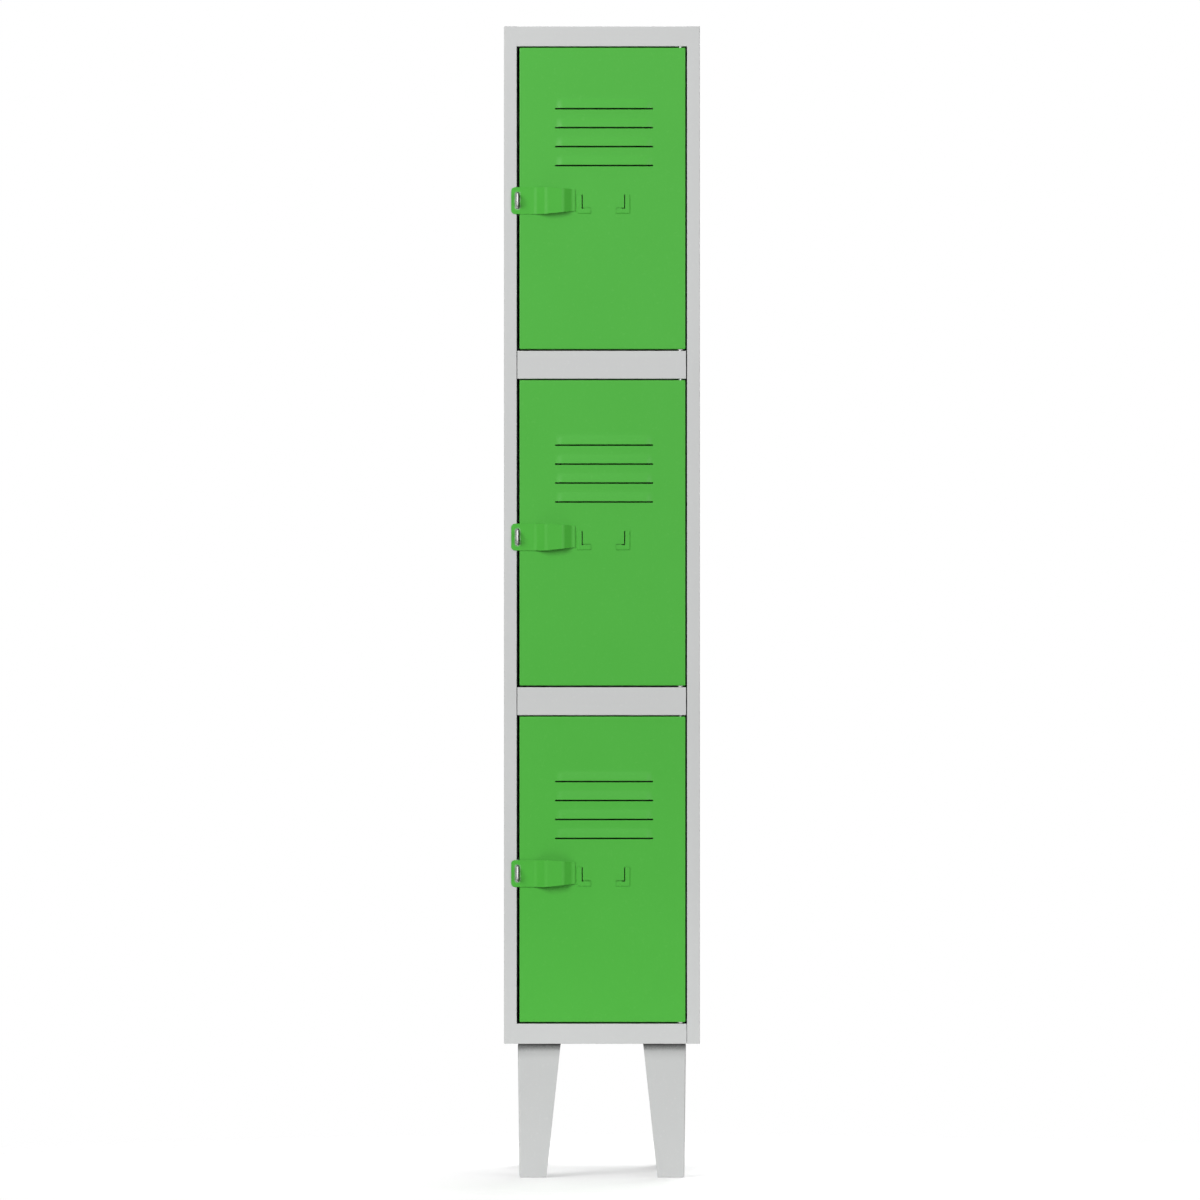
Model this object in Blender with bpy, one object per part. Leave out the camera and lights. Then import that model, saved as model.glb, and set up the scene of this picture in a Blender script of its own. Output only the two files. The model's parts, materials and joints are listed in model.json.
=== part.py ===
"""Three-tier steel locker: a grey carcass on four tapered legs, with three green hasp-and-staple doors.

Metres, +Z up. The origin is on the floor, under the middle of the overall box. The doors face -Y and
hang on pivot pins near +X; each one opens by turning about +Z. Every sheet piece is drawn as its outer
skin and thickened inwards.
"""

import math

import bmesh
import bpy
from mathutils import Vector

# Overall sizes.
WIDTH = 0.306
DEPTH = 0.500
BODY_HEIGHT = 1.590
LEG_HEIGHT = 0.210
TIER_NAMES = ("bottom", "middle", "top")

# Sheet and plate thicknesses.
CARCASS_SHEET = 0.001
DOOR_SHEET = 0.001
LEG_SHEET = 0.002
HASP_SHEET = 0.0015
TONGUE_PLATE = 0.002

# Gap kept between pieces that are welded, riveted or resting on each other.
FIT = 0.0003

# Carcass: posts, rails and flanges.
POST_WIDTH = 0.020
POST_RETURN = 0.020
REAR_FLANGE = 0.018
TOP_RAIL = 0.0315
MIDDLE_RAIL = 0.0438
BOTTOM_RAIL = 0.0315
RAIL_RETURN = 0.018
SHELF_SKIRT = 0.015
TOP_TIER_SHORTER = 0.0062
BASE_FLANGE = 0.055

# Doors and the clearances round them.
DOOR_PAN_DEPTH = 0.015
DOOR_GAP_LATCH = 0.0042
DOOR_GAP_HINGE = 0.0025
DOOR_GAP_TOP = 0.0020
DOOR_GAP_BOTTOM = 0.0026
DOOR_LIP = 0.012
DOOR_LIP_RELIEF = 0.006

# Pivot pins and their bushes.
PIVOT_FROM_EDGE = 0.008
PIVOT_FROM_FACE = 0.0055
PIN_RADIUS = 0.00225
PIN_HEAD_RADIUS = 0.0040
PIN_HEAD_HEIGHT = 0.0014
PIN_REACH = 0.010
PIN_PLAY = 0.0003
BUSH_WALL = 0.00075
BUSH_FLANGE_RADIUS = 0.0042
BUSH_FLANGE_HEIGHT = 0.0010
BUSH_SLEEVE_PAST = 0.0015

# Louvres: slits under raised hoods.
LOUVRE_COUNT = 4
LOUVRE_LENGTH = 0.153
LOUVRE_SHIFT = 0.0025
LOUVRE_PITCH = 0.0296
LOUVRE_ABOVE_EDGE = 0.2881
LOUVRE_SLIT = 0.0024
LOUVRE_HOOD = 0.015
LOUVRE_RISE = 0.0032
LOUVRE_RUN_OUT = 0.007

# Card holder: two upright L-shaped lips.
CARD_WIDTH = 0.084
CARD_SHIFT = 0.0015
CARD_HEIGHT = 0.030
CARD_LIP = 0.008
CARD_FOOT = 0.022
CARD_RISE = 0.0016
CARD_ABOVE_EDGE = 0.2265

# Door stiffener: a vertical hat channel.
STIFFENER_CROWN = 0.036
STIFFENER_BRIM = 0.012
STIFFENER_DEPTH = 0.011
STIFFENER_END_GAP = 0.025

# Hasp: a strip whose tab reaches over the post and whose middle stands off as a pull.
HASP_ABOVE_EDGE = 0.232
HASP_OVERLAP = 0.0087
HASP_HEIGHT = 0.042
HASP_FLAT = 0.038
HASP_RAMP = 0.016
HASP_RISE = 0.010
HASP_RETURN = 0.0145
HASP_FOOT = 0.004
HASP_TO_CARD = 0.0022
HASP_TAPER_LOW = 0.005
HASP_TAPER_HIGH = 0.003
HASP_CORNER = 0.006
SLOT_WIDTH = 0.007
SLOT_HEIGHT = 0.027

# Padlock tongue: a plate on the post that stands out through the hasp's slot.
TONGUE_HEIGHT = 0.020
TONGUE_REACH = 0.018
TONGUE_LIFT = 0.0012
TONGUE_HOLE_RADIUS = 0.004
TONGUE_HOLE_FROM_TIP = 0.0095
TONGUE_ROOT_HEIGHT = 0.040
TONGUE_ROOT_FRONT = 0.004
TONGUE_ROOT_REAR = 0.0175

# Legs.
LEG_TOP_WIDTH = 0.067
LEG_FOOT_WIDTH = 0.042
LEG_LEAN = 0.0025
LEG_SIDE_INSET = 0.0215
LEG_FACE_INSET = 0.0215

# Leg bolts and nuts.
BOLT_RADIUS = 0.004
BOLT_FLATS = 0.013
BOLT_HEAD_HEIGHT = 0.0053
NUT_HEIGHT = 0.0065
BOLT_PAST_NUT = 0.003
BOLT_FROM_CORNER = 0.020
BOLT_SPACING = 0.030

ROUND_SIDES = 12
ARC_STEPS = 4
NOSE_STEPS = 10
CUTTER_PAST = 0.010

# Places worked out from the sizes above.
TIERS = len(TIER_NAMES)
HEIGHT = LEG_HEIGHT + BODY_HEIGHT
FRONT = (TONGUE_REACH - DEPTH) / 2
REAR = FRONT + DEPTH
HALF_WIDTH = WIDTH / 2
HALF_OPENING = HALF_WIDTH - POST_WIDTH
HALF_INSIDE = HALF_WIDTH - CARCASS_SHEET - FIT
BEHIND_POST = FRONT + POST_RETURN + FIT
BACK_PANEL_OUTER = REAR - CARCASS_SHEET - FIT
SHELF_REAR = BACK_PANEL_OUTER - CARCASS_SHEET - FIT
RAILS = TOP_RAIL + (TIERS - 1) * MIDDLE_RAIL + BOTTOM_RAIL
OPENING_HEIGHT = (BODY_HEIGHT - RAILS + TOP_TIER_SHORTER) / TIERS
DOOR_LEFT = -HALF_OPENING + DOOR_GAP_LATCH
DOOR_RIGHT = HALF_OPENING - DOOR_GAP_HINGE
DOOR_CENTRE = (DOOR_LEFT + DOOR_RIGHT) / 2
PIVOT_X = DOOR_RIGHT - PIVOT_FROM_EDGE
PIVOT_Y = FRONT + PIVOT_FROM_FACE
TONGUE_LEFT = -HALF_OPENING + FIT
SLOT_CENTRE = TONGUE_LEFT + TONGUE_PLATE / 2 - FIT
HASP_LEFT = -HALF_OPENING - HASP_OVERLAP
LOUVRE_CENTRE = DOOR_CENTRE + LOUVRE_SHIFT
CARD_CENTRE = DOOR_CENTRE + CARD_SHIFT
HASP_RIGHT = CARD_CENTRE - CARD_WIDTH / 2 - HASP_TO_CARD
PIN_COLLAR_HEIGHT = DOOR_GAP_BOTTOM - BUSH_FLANGE_HEIGHT - 3 * FIT

GREY = (0.60, 0.605, 0.60)
GREEN = (0.092, 0.445, 0.062)
ZINC = (0.55, 0.56, 0.57)
NYLON = (0.72, 0.72, 0.70)


def floor_of(tier):
    """Height of the sill that the tier's door stands over."""
    return LEG_HEIGHT + BOTTOM_RAIL + tier * (OPENING_HEIGHT + MIDDLE_RAIL)


def lintel_of(tier):
    """Height of the rail's edge over the tier's door; the top tier is a little lower than the others."""
    return floor_of(tier) + OPENING_HEIGHT - (TOP_TIER_SHORTER if tier == TIERS - 1 else 0.0)


def door_bottom_of(tier):
    return floor_of(tier) + DOOR_GAP_BOTTOM


def door_top_of(tier):
    return lintel_of(tier) - DOOR_GAP_TOP


def hasp_height_of(tier):
    """Height of the middle of the hasp's slot."""
    return door_bottom_of(tier) + HASP_ABOVE_EDGE


def clear_scene():
    for thing in list(bpy.data.objects):
        bpy.data.objects.remove(thing, do_unlink=True)


def finish(name, colour, roughness, metallic=0.0):
    """A plain material for one kind of piece."""
    material = bpy.data.materials.new(name)
    material.use_nodes = True
    shader = material.node_tree.nodes["Principled BSDF"]
    shader.inputs["Base Color"].default_value = (*colour, 1.0)
    shader.inputs["Roughness"].default_value = roughness
    shader.inputs["Metallic"].default_value = metallic
    return material


def add_piece(name, shape, material=None, parent=None):
    """Makes an object of a bmesh drawn in the world's place; its origin goes to its parent's."""
    origin = parent.location if parent else Vector((0.0, 0.0, 0.0))
    bmesh.ops.translate(shape, verts=shape.verts, vec=-origin)
    mesh = bpy.data.meshes.new(name)
    shape.to_mesh(mesh)
    shape.free()
    piece = bpy.data.objects.new(name, mesh)
    bpy.context.scene.collection.objects.link(piece)
    piece.parent = parent
    if material:
        mesh.materials.append(material)
    return piece


def smooth(piece, angle=35):
    """Shades the round sides smooth and keeps the edges sharp."""
    piece.data.shade_smooth()
    piece.data.set_sharp_from_angle(angle=math.radians(angle))


def thicken(piece, thickness):
    """Gives a skin its thickness, inwards."""
    wall = piece.modifiers.new("thickness", "SOLIDIFY")
    wall.thickness = thickness
    wall.offset = -1.0
    wall.use_even_offset = True


def combine(piece, other, operation):
    """Cuts another object from a piece, or joins it on; the other is kept as a hidden helper."""
    step = piece.modifiers.new(other.name, "BOOLEAN")
    step.operation = operation
    step.solver = "EXACT"
    step.object = other
    other.hide_render = True
    other.display_type = "WIRE"


class Skin:
    """The outer faces of a folded sheet, which share their corner points."""

    def __init__(self):
        self.shape = bmesh.new()
        self.points = {}

    def point(self, place):
        key = tuple(round(value, 7) for value in place)
        if key not in self.points:
            self.points[key] = self.shape.verts.new(place)
        return self.points[key]

    def face(self, corners, outward):
        """One flat face, turned so that its normal is on the outward side."""
        corners = [Vector(corner) for corner in corners]
        normal = (corners[1] - corners[0]).cross(corners[2] - corners[0])
        if normal.dot(Vector(outward)) < 0:
            corners.reverse()
        self.shape.faces.new([self.point(corner) for corner in corners])

    def grid(self, axis, level, first, second, side, skip=(), lift=None):
        """Faces between grid lines on the plane axis = level.

        first and second are the lines along the other two axes, in X, Y, Z order. side is +1 or -1,
        the way that the faces look along axis. skip names cells left open, and lift moves a grid
        point that way.
        """

        def place(i, j):
            values = [first[i], second[j]]
            values.insert(axis, level + side * (lift(i, j) if lift else 0.0))
            return values

        outward = [0.0, 0.0, 0.0]
        outward[axis] = side
        for i in range(len(first) - 1):
            for j in range(len(second) - 1):
                if (i, j) not in skip:
                    ring = ((i, j), (i + 1, j), (i + 1, j + 1), (i, j + 1))
                    self.face([place(*corner) for corner in ring], outward)


X, Y, Z = 0, 1, 2


def turned(profile, centre, bored=False, sides=ROUND_SIDES):
    """A bmesh turned about a vertical axis.

    profile holds (radius, height) or (half of the width across flats, height, "hex") from one end to
    the other. A bored profile closes on itself, and any other is capped at both ends.
    """
    shape = bmesh.new()
    rings = []
    for radius, height, *kind in profile:
        ring = []
        for step in range(sides):
            corner = kind and step % 2 == 0
            reach = radius / math.cos(math.pi / 6) if corner else radius
            angle = 2 * math.pi * step / sides
            offset = Vector((reach * math.cos(angle), reach * math.sin(angle), height))
            ring.append(shape.verts.new(Vector((*centre, 0.0)) + offset))
        rings.append(ring)
    pairs = list(zip(rings, rings[1:]))
    if bored:
        pairs.append((rings[-1], rings[0]))
    else:
        shape.faces.new(rings[0])
        shape.faces.new(rings[-1])
    for low, high in pairs:
        for step in range(sides):
            after = (step + 1) % sides
            shape.faces.new((low[step], low[after], high[after], high[step]))
    bmesh.ops.recalc_face_normals(shape, faces=shape.faces)
    return shape


def slab(outline, axis, low, high):
    """A bmesh plate: an outline of point pairs on the other two axes, run from low to high."""
    shape = bmesh.new()
    ends = []
    for level in (low, high):
        places = [list(pair) for pair in outline]
        for place in places:
            place.insert(axis, level)
        ends.append([shape.verts.new(place) for place in places])
    shape.faces.new(ends[0])
    shape.faces.new(ends[1])
    for step in range(len(outline)):
        after = (step + 1) % len(outline)
        shape.faces.new((ends[0][step], ends[0][after], ends[1][after], ends[1][step]))
    bmesh.ops.recalc_face_normals(shape, faces=shape.faces)
    return shape


def arc(centre, radius, start, end, steps):
    """Points on an arc, from start to end in degrees."""
    angles = [math.radians(start + (end - start) * step / steps) for step in range(steps + 1)]
    return [(centre[0] + radius * math.cos(a), centre[1] + radius * math.sin(a)) for a in angles]


def stadium(centre, width, height, steps):
    """Outline of an upright slot with round ends."""
    radius = width / 2
    straight = height / 2 - radius
    upper = arc((centre[0], centre[1] + straight), radius, 0, 180, steps)
    lower = arc((centre[0], centre[1] - straight), radius, 180, 360, steps)
    return upper + lower


def side_panel(name, side, material):
    """Side wall folded round into the front post at one end and a rear flange at the other."""
    outer, opening = side * HALF_WIDTH, side * HALF_OPENING
    notch = HEIGHT - CARCASS_SHEET - FIT
    heights = [LEG_HEIGHT, notch, HEIGHT]
    skin = Skin()
    skin.grid(X, opening, [FRONT, FRONT + POST_RETURN], heights[:2], -side)
    skin.grid(Y, FRONT, [opening, outer], heights, -1)
    skin.grid(X, outer, [FRONT, REAR], heights, side)
    skin.grid(Y, REAR, [outer - side * REAR_FLANGE, outer], heights, 1)
    thicken(add_piece(name, skin.shape, material), CARCASS_SHEET)


def back_panel(material):
    """Flat sheet that stands inside the rear flanges and under the top."""
    top = HEIGHT - CARCASS_SHEET - FIT
    skin = Skin()
    skin.grid(Y, BACK_PANEL_OUTER, [-HALF_INSIDE, HALF_INSIDE], [LEG_HEIGHT, top], 1)
    thicken(add_piece("back_panel", skin.shape, material), CARCASS_SHEET)


def rail(skin, top, height, lines):
    """Front rail between the posts, with the flange folded back under it."""
    across = lines[1:-1]
    skin.grid(Y, FRONT, across, [top - height, top], -1)
    skin.grid(Z, top - height, across, [FRONT, FRONT + RAIL_RETURN], -1)


def deck_lines(inner=()):
    """Grid lines across a deck: its two sides, the posts and any fold between them."""
    post = HALF_OPENING - FIT
    return [-HALF_INSIDE, -post, *inner, post, HALF_INSIDE]


def deck(skin, top, widens_at, rear, lines):
    """Flat top of a shelf, base or lid: narrow between the posts, full width behind widens_at."""
    corners = {(0, 0), (len(lines) - 2, 0)}
    skin.grid(Z, top, lines, [FRONT, widens_at, rear], 1, skip=corners)


def skirts(skin, top, depth, lines):
    """Flanges folded down along both sides and the rear of a shelf or the base."""
    heights = [top - depth, top]
    for side in (-1, 1):
        skin.grid(X, side * HALF_INSIDE, [BEHIND_POST, SHELF_REAR], heights, side)
    skin.grid(Y, SHELF_REAR, lines, heights, 1)


def top_panel(material, pin_bore):
    """Lid that closes the posts and covers the back panel's edge."""
    lines = deck_lines()
    skin = Skin()
    deck(skin, HEIGHT, FRONT + CARCASS_SHEET + FIT, BACK_PANEL_OUTER, lines)
    rail(skin, HEIGHT, TOP_RAIL, lines)
    piece = add_piece("top_panel", skin.shape, material)
    thicken(piece, CARCASS_SHEET)
    combine(piece, pin_bore, "DIFFERENCE")


def shelf(name, top, material, pin_bore):
    """Divider whose front edge is the rail between two doors."""
    lines = deck_lines()
    skin = Skin()
    deck(skin, top, BEHIND_POST, SHELF_REAR, lines)
    rail(skin, top, MIDDLE_RAIL, lines)
    skirts(skin, top, SHELF_SKIRT, lines)
    piece = add_piece(name, skin.shape, material)
    thicken(piece, CARCASS_SHEET)
    combine(piece, pin_bore, "DIFFERENCE")


def base_panel(material, pin_bore, bolt_bores):
    """Lowest deck, with deep skirts that turn in under it and carry the legs."""
    top = LEG_HEIGHT + BOTTOM_RAIL
    fold = HALF_INSIDE - BASE_FLANGE
    lines = deck_lines((-fold, fold))
    skin = Skin()
    deck(skin, top, BEHIND_POST, SHELF_REAR, lines)
    rail(skin, top, BOTTOM_RAIL, lines)
    skirts(skin, top, BOTTOM_RAIL, lines)
    for strip in (lines[:3], lines[-3:]):
        skin.grid(Z, LEG_HEIGHT, strip, [BEHIND_POST, SHELF_REAR], -1)
    piece = add_piece("base_panel", skin.shape, material)
    thicken(piece, CARCASS_SHEET)
    for cutter in (pin_bore, *bolt_bores):
        combine(piece, cutter, "DIFFERENCE")


def leg_corner(side, end):
    """Where the fold of a leg meets the carcass: side is -1 or 1 along X, end along Y."""
    edge = FRONT if end < 0 else REAR
    return side * (HALF_WIDTH - LEG_SIDE_INSET), edge - end * LEG_FACE_INSET


def leg(name, side, end, material, bolt_bores):
    """Two tapered faces folded at the outer corner, with a flange on top and a foot below."""
    x_top, y_face = leg_corner(side, end)
    x_foot = x_top - side * LEG_LEAN
    top = LEG_HEIGHT - FIT
    upper, lower = {}, {}
    for store, x_fold, width, z in (
        (upper, x_top, LEG_TOP_WIDTH, top),
        (lower, x_foot, LEG_FOOT_WIDTH, 0.0),
    ):
        for across in (0, 1):
            for along in (0, 1):
                x = x_fold - side * width * across
                y = y_face - end * width * along
                store[across, along] = (x, y, z)
    skin = Skin()
    skin.face([upper[0, 0], upper[1, 0], lower[1, 0], lower[0, 0]], (0, end, 0))
    skin.face([upper[0, 0], upper[0, 1], lower[0, 1], lower[0, 0]], (side, 0, 0))
    skin.face([upper[0, 0], upper[1, 0], upper[1, 1], upper[0, 1]], (0, 0, 1))
    skin.face([lower[0, 0], lower[1, 0], lower[1, 1], lower[0, 1]], (0, 0, -1))
    piece = add_piece(name, skin.shape, material)
    thicken(piece, LEG_SHEET)
    for cutter in bolt_bores:
        combine(piece, cutter, "DIFFERENCE")


def bolt_places(side, end):
    x_fold, y_face = leg_corner(side, end)
    for step in range(2):
        along = BOLT_FROM_CORNER + step * BOLT_SPACING
        yield x_fold - side * BOLT_FROM_CORNER, y_face - end * along


def bolt_bore(name, place):
    """Cutter for a bolt's way through a leg's flange and the base's."""
    low = LEG_HEIGHT - LEG_SHEET - CUTTER_PAST
    high = LEG_HEIGHT + CARCASS_SHEET + CUTTER_PAST
    radius = BOLT_RADIUS + 2 * FIT
    cutter = add_piece(name, turned([(radius, low), (radius, high)], place))
    cutter.hide_render = True
    return cutter


def bolt_and_nut(name, place, material):
    """Hexagon bolt up through the leg's flange, and its nut above the base's flange."""
    seat = LEG_HEIGHT - FIT - LEG_SHEET - FIT
    nut_seat = LEG_HEIGHT + CARCASS_SHEET + FIT
    flats = BOLT_FLATS / 2
    tip = nut_seat + NUT_HEIGHT + BOLT_PAST_NUT
    bolt = [(flats, seat - BOLT_HEAD_HEIGHT, "hex"), (flats, seat, "hex")]
    bolt += [(BOLT_RADIUS, seat), (BOLT_RADIUS, tip)]
    bore = BOLT_RADIUS + FIT
    nut = [(bore, nut_seat), (flats, nut_seat, "hex")]
    nut += [(flats, nut_seat + NUT_HEIGHT, "hex"), (bore, nut_seat + NUT_HEIGHT)]
    smooth(add_piece(f"{name}_bolt", turned(bolt, place), material))
    smooth(add_piece(f"{name}_nut", turned(nut, place, bored=True), material))


def legs(material, bolt_material):
    """Four legs with their bolts and nuts; returns the cutters that the base needs."""
    every_bore = []
    for end, end_name in ((-1, "front"), (1, "rear")):
        for side, side_name in ((-1, "left"), (1, "right")):
            name = f"leg_{end_name}_{side_name}"
            places = list(bolt_places(side, end))
            bores = [bolt_bore(f"{name}_bore_{n + 1}", place) for n, place in enumerate(places)]
            leg(name, side, end, material, bores)
            for n, place in enumerate(places):
                bolt_and_nut(f"{name}_{n + 1}", place, bolt_material)
            every_bore += bores
    return every_bore


def pin_bore():
    """Cutter along the pivot axis for the pins' holes in the sill and lintel of every doorway."""
    low = floor_of(0) - CUTTER_PAST
    high = lintel_of(TIERS - 1) + CUTTER_PAST
    radius = PIN_RADIUS + FIT
    cutter = add_piece("pin_bore", turned([(radius, low), (radius, high)], (PIVOT_X, PIVOT_Y)))
    cutter.hide_render = True
    return cutter


def pin_lower(tier, material):
    """Pin riveted up through the sill, with a collar that the bush turns on."""
    sill = floor_of(tier)
    under = sill - CARCASS_SHEET - FIT
    collar = sill + FIT
    profile = [(PIN_HEAD_RADIUS, under - PIN_HEAD_HEIGHT), (PIN_HEAD_RADIUS, under)]
    profile += [(PIN_RADIUS, under), (PIN_RADIUS, collar), (PIN_HEAD_RADIUS, collar)]
    profile += [(PIN_HEAD_RADIUS, collar + PIN_COLLAR_HEIGHT)]
    profile += [(PIN_RADIUS, collar + PIN_COLLAR_HEIGHT), (PIN_RADIUS, sill + PIN_REACH)]
    name = f"hinge_pin_lower_{TIER_NAMES[tier]}"
    smooth(add_piece(name, turned(profile, (PIVOT_X, PIVOT_Y)), material))


def pin_upper(tier, material):
    """Headed pin dropped down through the lintel."""
    lintel = lintel_of(tier)
    seat = lintel + CARCASS_SHEET + FIT
    profile = [(PIN_HEAD_RADIUS, seat + PIN_HEAD_HEIGHT), (PIN_HEAD_RADIUS, seat)]
    profile += [(PIN_RADIUS, seat), (PIN_RADIUS, lintel - PIN_REACH)]
    name = f"hinge_pin_upper_{TIER_NAMES[tier]}"
    smooth(add_piece(name, turned(profile, (PIVOT_X, PIVOT_Y)), material))


def bush(name, outer_face, inward, flange_first, hinge, material):
    """Flanged bush in one of the door's edge flanges.

    outer_face is that flange's outer surface and inward is the way into the door, +1 or -1 along Z.
    flange_first puts the bush's own flange outside the door.
    """
    bore = PIN_RADIUS + PIN_PLAY
    sleeve = bore + BUSH_WALL
    if flange_first:
        near = outer_face - inward * (FIT + BUSH_FLANGE_HEIGHT)
        step = outer_face - inward * FIT
        far = outer_face + inward * (DOOR_SHEET + BUSH_SLEEVE_PAST)
        first, second = BUSH_FLANGE_RADIUS, sleeve
    else:
        near = outer_face
        step = outer_face + inward * (DOOR_SHEET + FIT)
        far = step + inward * BUSH_FLANGE_HEIGHT
        first, second = sleeve, BUSH_FLANGE_RADIUS
    profile = [(bore, near), (first, near), (first, step), (second, step), (second, far), (bore, far)]
    ring = turned(profile, (PIVOT_X, PIVOT_Y), bored=True)
    smooth(add_piece(name, ring, material, hinge))


def bush_bore(tier, hinge):
    """Cutter for the bushes' holes in a door's top and bottom flanges."""
    radius = PIN_RADIUS + PIN_PLAY + BUSH_WALL + FIT
    low = door_bottom_of(tier) - CUTTER_PAST
    high = door_top_of(tier) + CUTTER_PAST
    cylinder = turned([(radius, low), (radius, high)], (PIVOT_X, PIVOT_Y))
    return add_piece(f"bush_bore_{TIER_NAMES[tier]}", cylinder, None, hinge)


def louvre_heights(door_bottom):
    """Height of each slit's upper edge, from the lowest louvre up."""
    return [door_bottom + LOUVRE_ABOVE_EDGE + n * LOUVRE_PITCH for n in range(LOUVRE_COUNT)]


def door_skin(bottom, top):
    """Pan of the door: pierced face, four edge flanges and two inner lips."""
    half = LOUVRE_LENGTH / 2
    full = half - LOUVRE_RUN_OUT
    columns = [DOOR_LEFT] + [LOUVRE_CENTRE + x for x in (-half, -full, full, half)] + [DOOR_RIGHT]
    rows, slit_rows, rises = [bottom, bottom + DOOR_LIP_RELIEF], [], {}
    for height in louvre_heights(bottom):
        slit_rows.append(len(rows))
        rises[len(rows) + 1] = LOUVRE_RISE
        rises[len(rows) + 2] = LOUVRE_RISE * 0.75
        rows += [height - LOUVRE_SLIT, height, height + LOUVRE_HOOD * 0.4, height + LOUVRE_HOOD]
    rows += [top - DOOR_LIP_RELIEF, top]

    def lift(column, row):
        return rises.get(row, 0.0) if column in (2, 3) else 0.0

    slits = {(column, row) for column in (1, 2, 3) for row in slit_rows}
    depths = [FRONT, FRONT + DOOR_PAN_DEPTH]
    skin = Skin()
    skin.grid(Y, FRONT, columns, rows, -1, skip=slits, lift=lift)
    skin.grid(X, DOOR_LEFT, depths, rows, -1)
    skin.grid(X, DOOR_RIGHT, depths, rows, 1)
    skin.grid(Z, bottom, columns, depths, -1)
    skin.grid(Z, top, columns, depths, 1)
    skin.grid(Y, depths[1], [DOOR_LEFT, DOOR_LEFT + DOOR_LIP], rows[1:-1], 1)
    skin.grid(Y, depths[1], [DOOR_RIGHT - DOOR_LIP, DOOR_RIGHT], rows[1:-1], 1)
    return skin


def card_lip(name, side, middle, hinge):
    """One raised L of the card holder, to be joined to the door's face."""
    outer = CARD_CENTRE + side * CARD_WIDTH / 2
    low, high = middle - CARD_HEIGHT / 2, middle + CARD_HEIGHT / 2
    inner, toe = outer - side * CARD_LIP, outer - side * CARD_FOOT
    outline = [(outer, low), (outer, high), (inner, high), (inner, low + CARD_LIP)]
    outline += [(toe, low + CARD_LIP), (toe, low)]
    lip = slab(outline, Y, FRONT - CARD_RISE, FRONT + DOOR_SHEET / 2)
    return add_piece(name, lip, None, hinge)


def door(tier, hinge, material):
    bottom = door_bottom_of(tier)
    name = TIER_NAMES[tier]
    piece = add_piece(f"door_{name}", door_skin(bottom, door_top_of(tier)).shape, material, hinge)
    thicken(piece, DOOR_SHEET)
    card_middle = bottom + CARD_ABOVE_EDGE
    for side, side_name in ((-1, "left"), (1, "right")):
        lip = card_lip(f"card_lip_{side_name}_{name}", side, card_middle, hinge)
        combine(piece, lip, "UNION")
    combine(piece, bush_bore(tier, hinge), "DIFFERENCE")


def stiffener(tier, hinge, material):
    """Hat channel up the inside of the door, below the louvres."""
    bottom = door_bottom_of(tier)
    low = bottom + STIFFENER_END_GAP
    high = louvre_heights(bottom)[0] - LOUVRE_SLIT - STIFFENER_END_GAP
    brim_face = FRONT + DOOR_SHEET + FIT + DOOR_SHEET
    crown_face = brim_face + STIFFENER_DEPTH
    half = STIFFENER_CROWN / 2
    heights = [low, high]
    skin = Skin()
    for side in (-1, 1):
        wall = DOOR_CENTRE + side * half
        brim = sorted((wall, wall + side * STIFFENER_BRIM))
        skin.grid(Y, brim_face, brim, heights, 1)
        skin.grid(X, wall, [brim_face, crown_face], heights, side)
    skin.grid(Y, crown_face, [DOOR_CENTRE - half, DOOR_CENTRE + half], heights, 1)
    piece = add_piece(f"door_stiffener_{TIER_NAMES[tier]}", skin.shape, material, hinge)
    thicken(piece, DOOR_SHEET)


def hasp_stations(middle):
    """(x, stand-off, low, high) down the strip, from the tab's rounded end to the welded foot."""
    low, high = middle - HASP_HEIGHT / 2, middle + HASP_HEIGHT / 2
    stations = []
    for step in range(ARC_STEPS + 1):
        angle = math.pi / 2 * step / ARC_STEPS
        x = HASP_LEFT + HASP_CORNER * (1 - math.cos(angle))
        drop = HASP_CORNER * (1 - math.sin(angle))
        stations.append((x, 0.0, low + drop, high - drop))
    x = HASP_LEFT + HASP_FLAT
    stations.append((x, 0.0, low, high))
    x += HASP_RAMP
    stations.append((x, HASP_RISE, low, high))
    foot = HASP_RIGHT - HASP_FOOT
    for place, rise in ((foot - HASP_RETURN, HASP_RISE), (foot, 0.0), (HASP_RIGHT, 0.0)):
        share = (place - x) / (HASP_RIGHT - x)
        stations.append((place, rise, low + HASP_TAPER_LOW * share, high - HASP_TAPER_HIGH * share))
    return stations


def hasp(tier, hinge, material):
    middle = hasp_height_of(tier)
    name = TIER_NAMES[tier]
    face = FRONT - FIT - HASP_SHEET
    stations = hasp_stations(middle)
    skin = Skin()
    for (x0, rise0, low0, high0), (x1, rise1, low1, high1) in zip(stations, stations[1:]):
        corners = [(x0, face - rise0, low0), (x1, face - rise1, low1)]
        corners += [(x1, face - rise1, high1), (x0, face - rise0, high0)]
        skin.face(corners, (0, -1, 0))
    piece = add_piece(f"hasp_{name}", skin.shape, material, hinge)
    thicken(piece, HASP_SHEET)
    outline = stadium((SLOT_CENTRE, middle), SLOT_WIDTH, SLOT_HEIGHT, ARC_STEPS)
    slot = slab(outline, Y, face - CUTTER_PAST, FRONT + CUTTER_PAST)
    combine(piece, add_piece(f"hasp_slot_{name}", slot, None, hinge), "DIFFERENCE")


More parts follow.
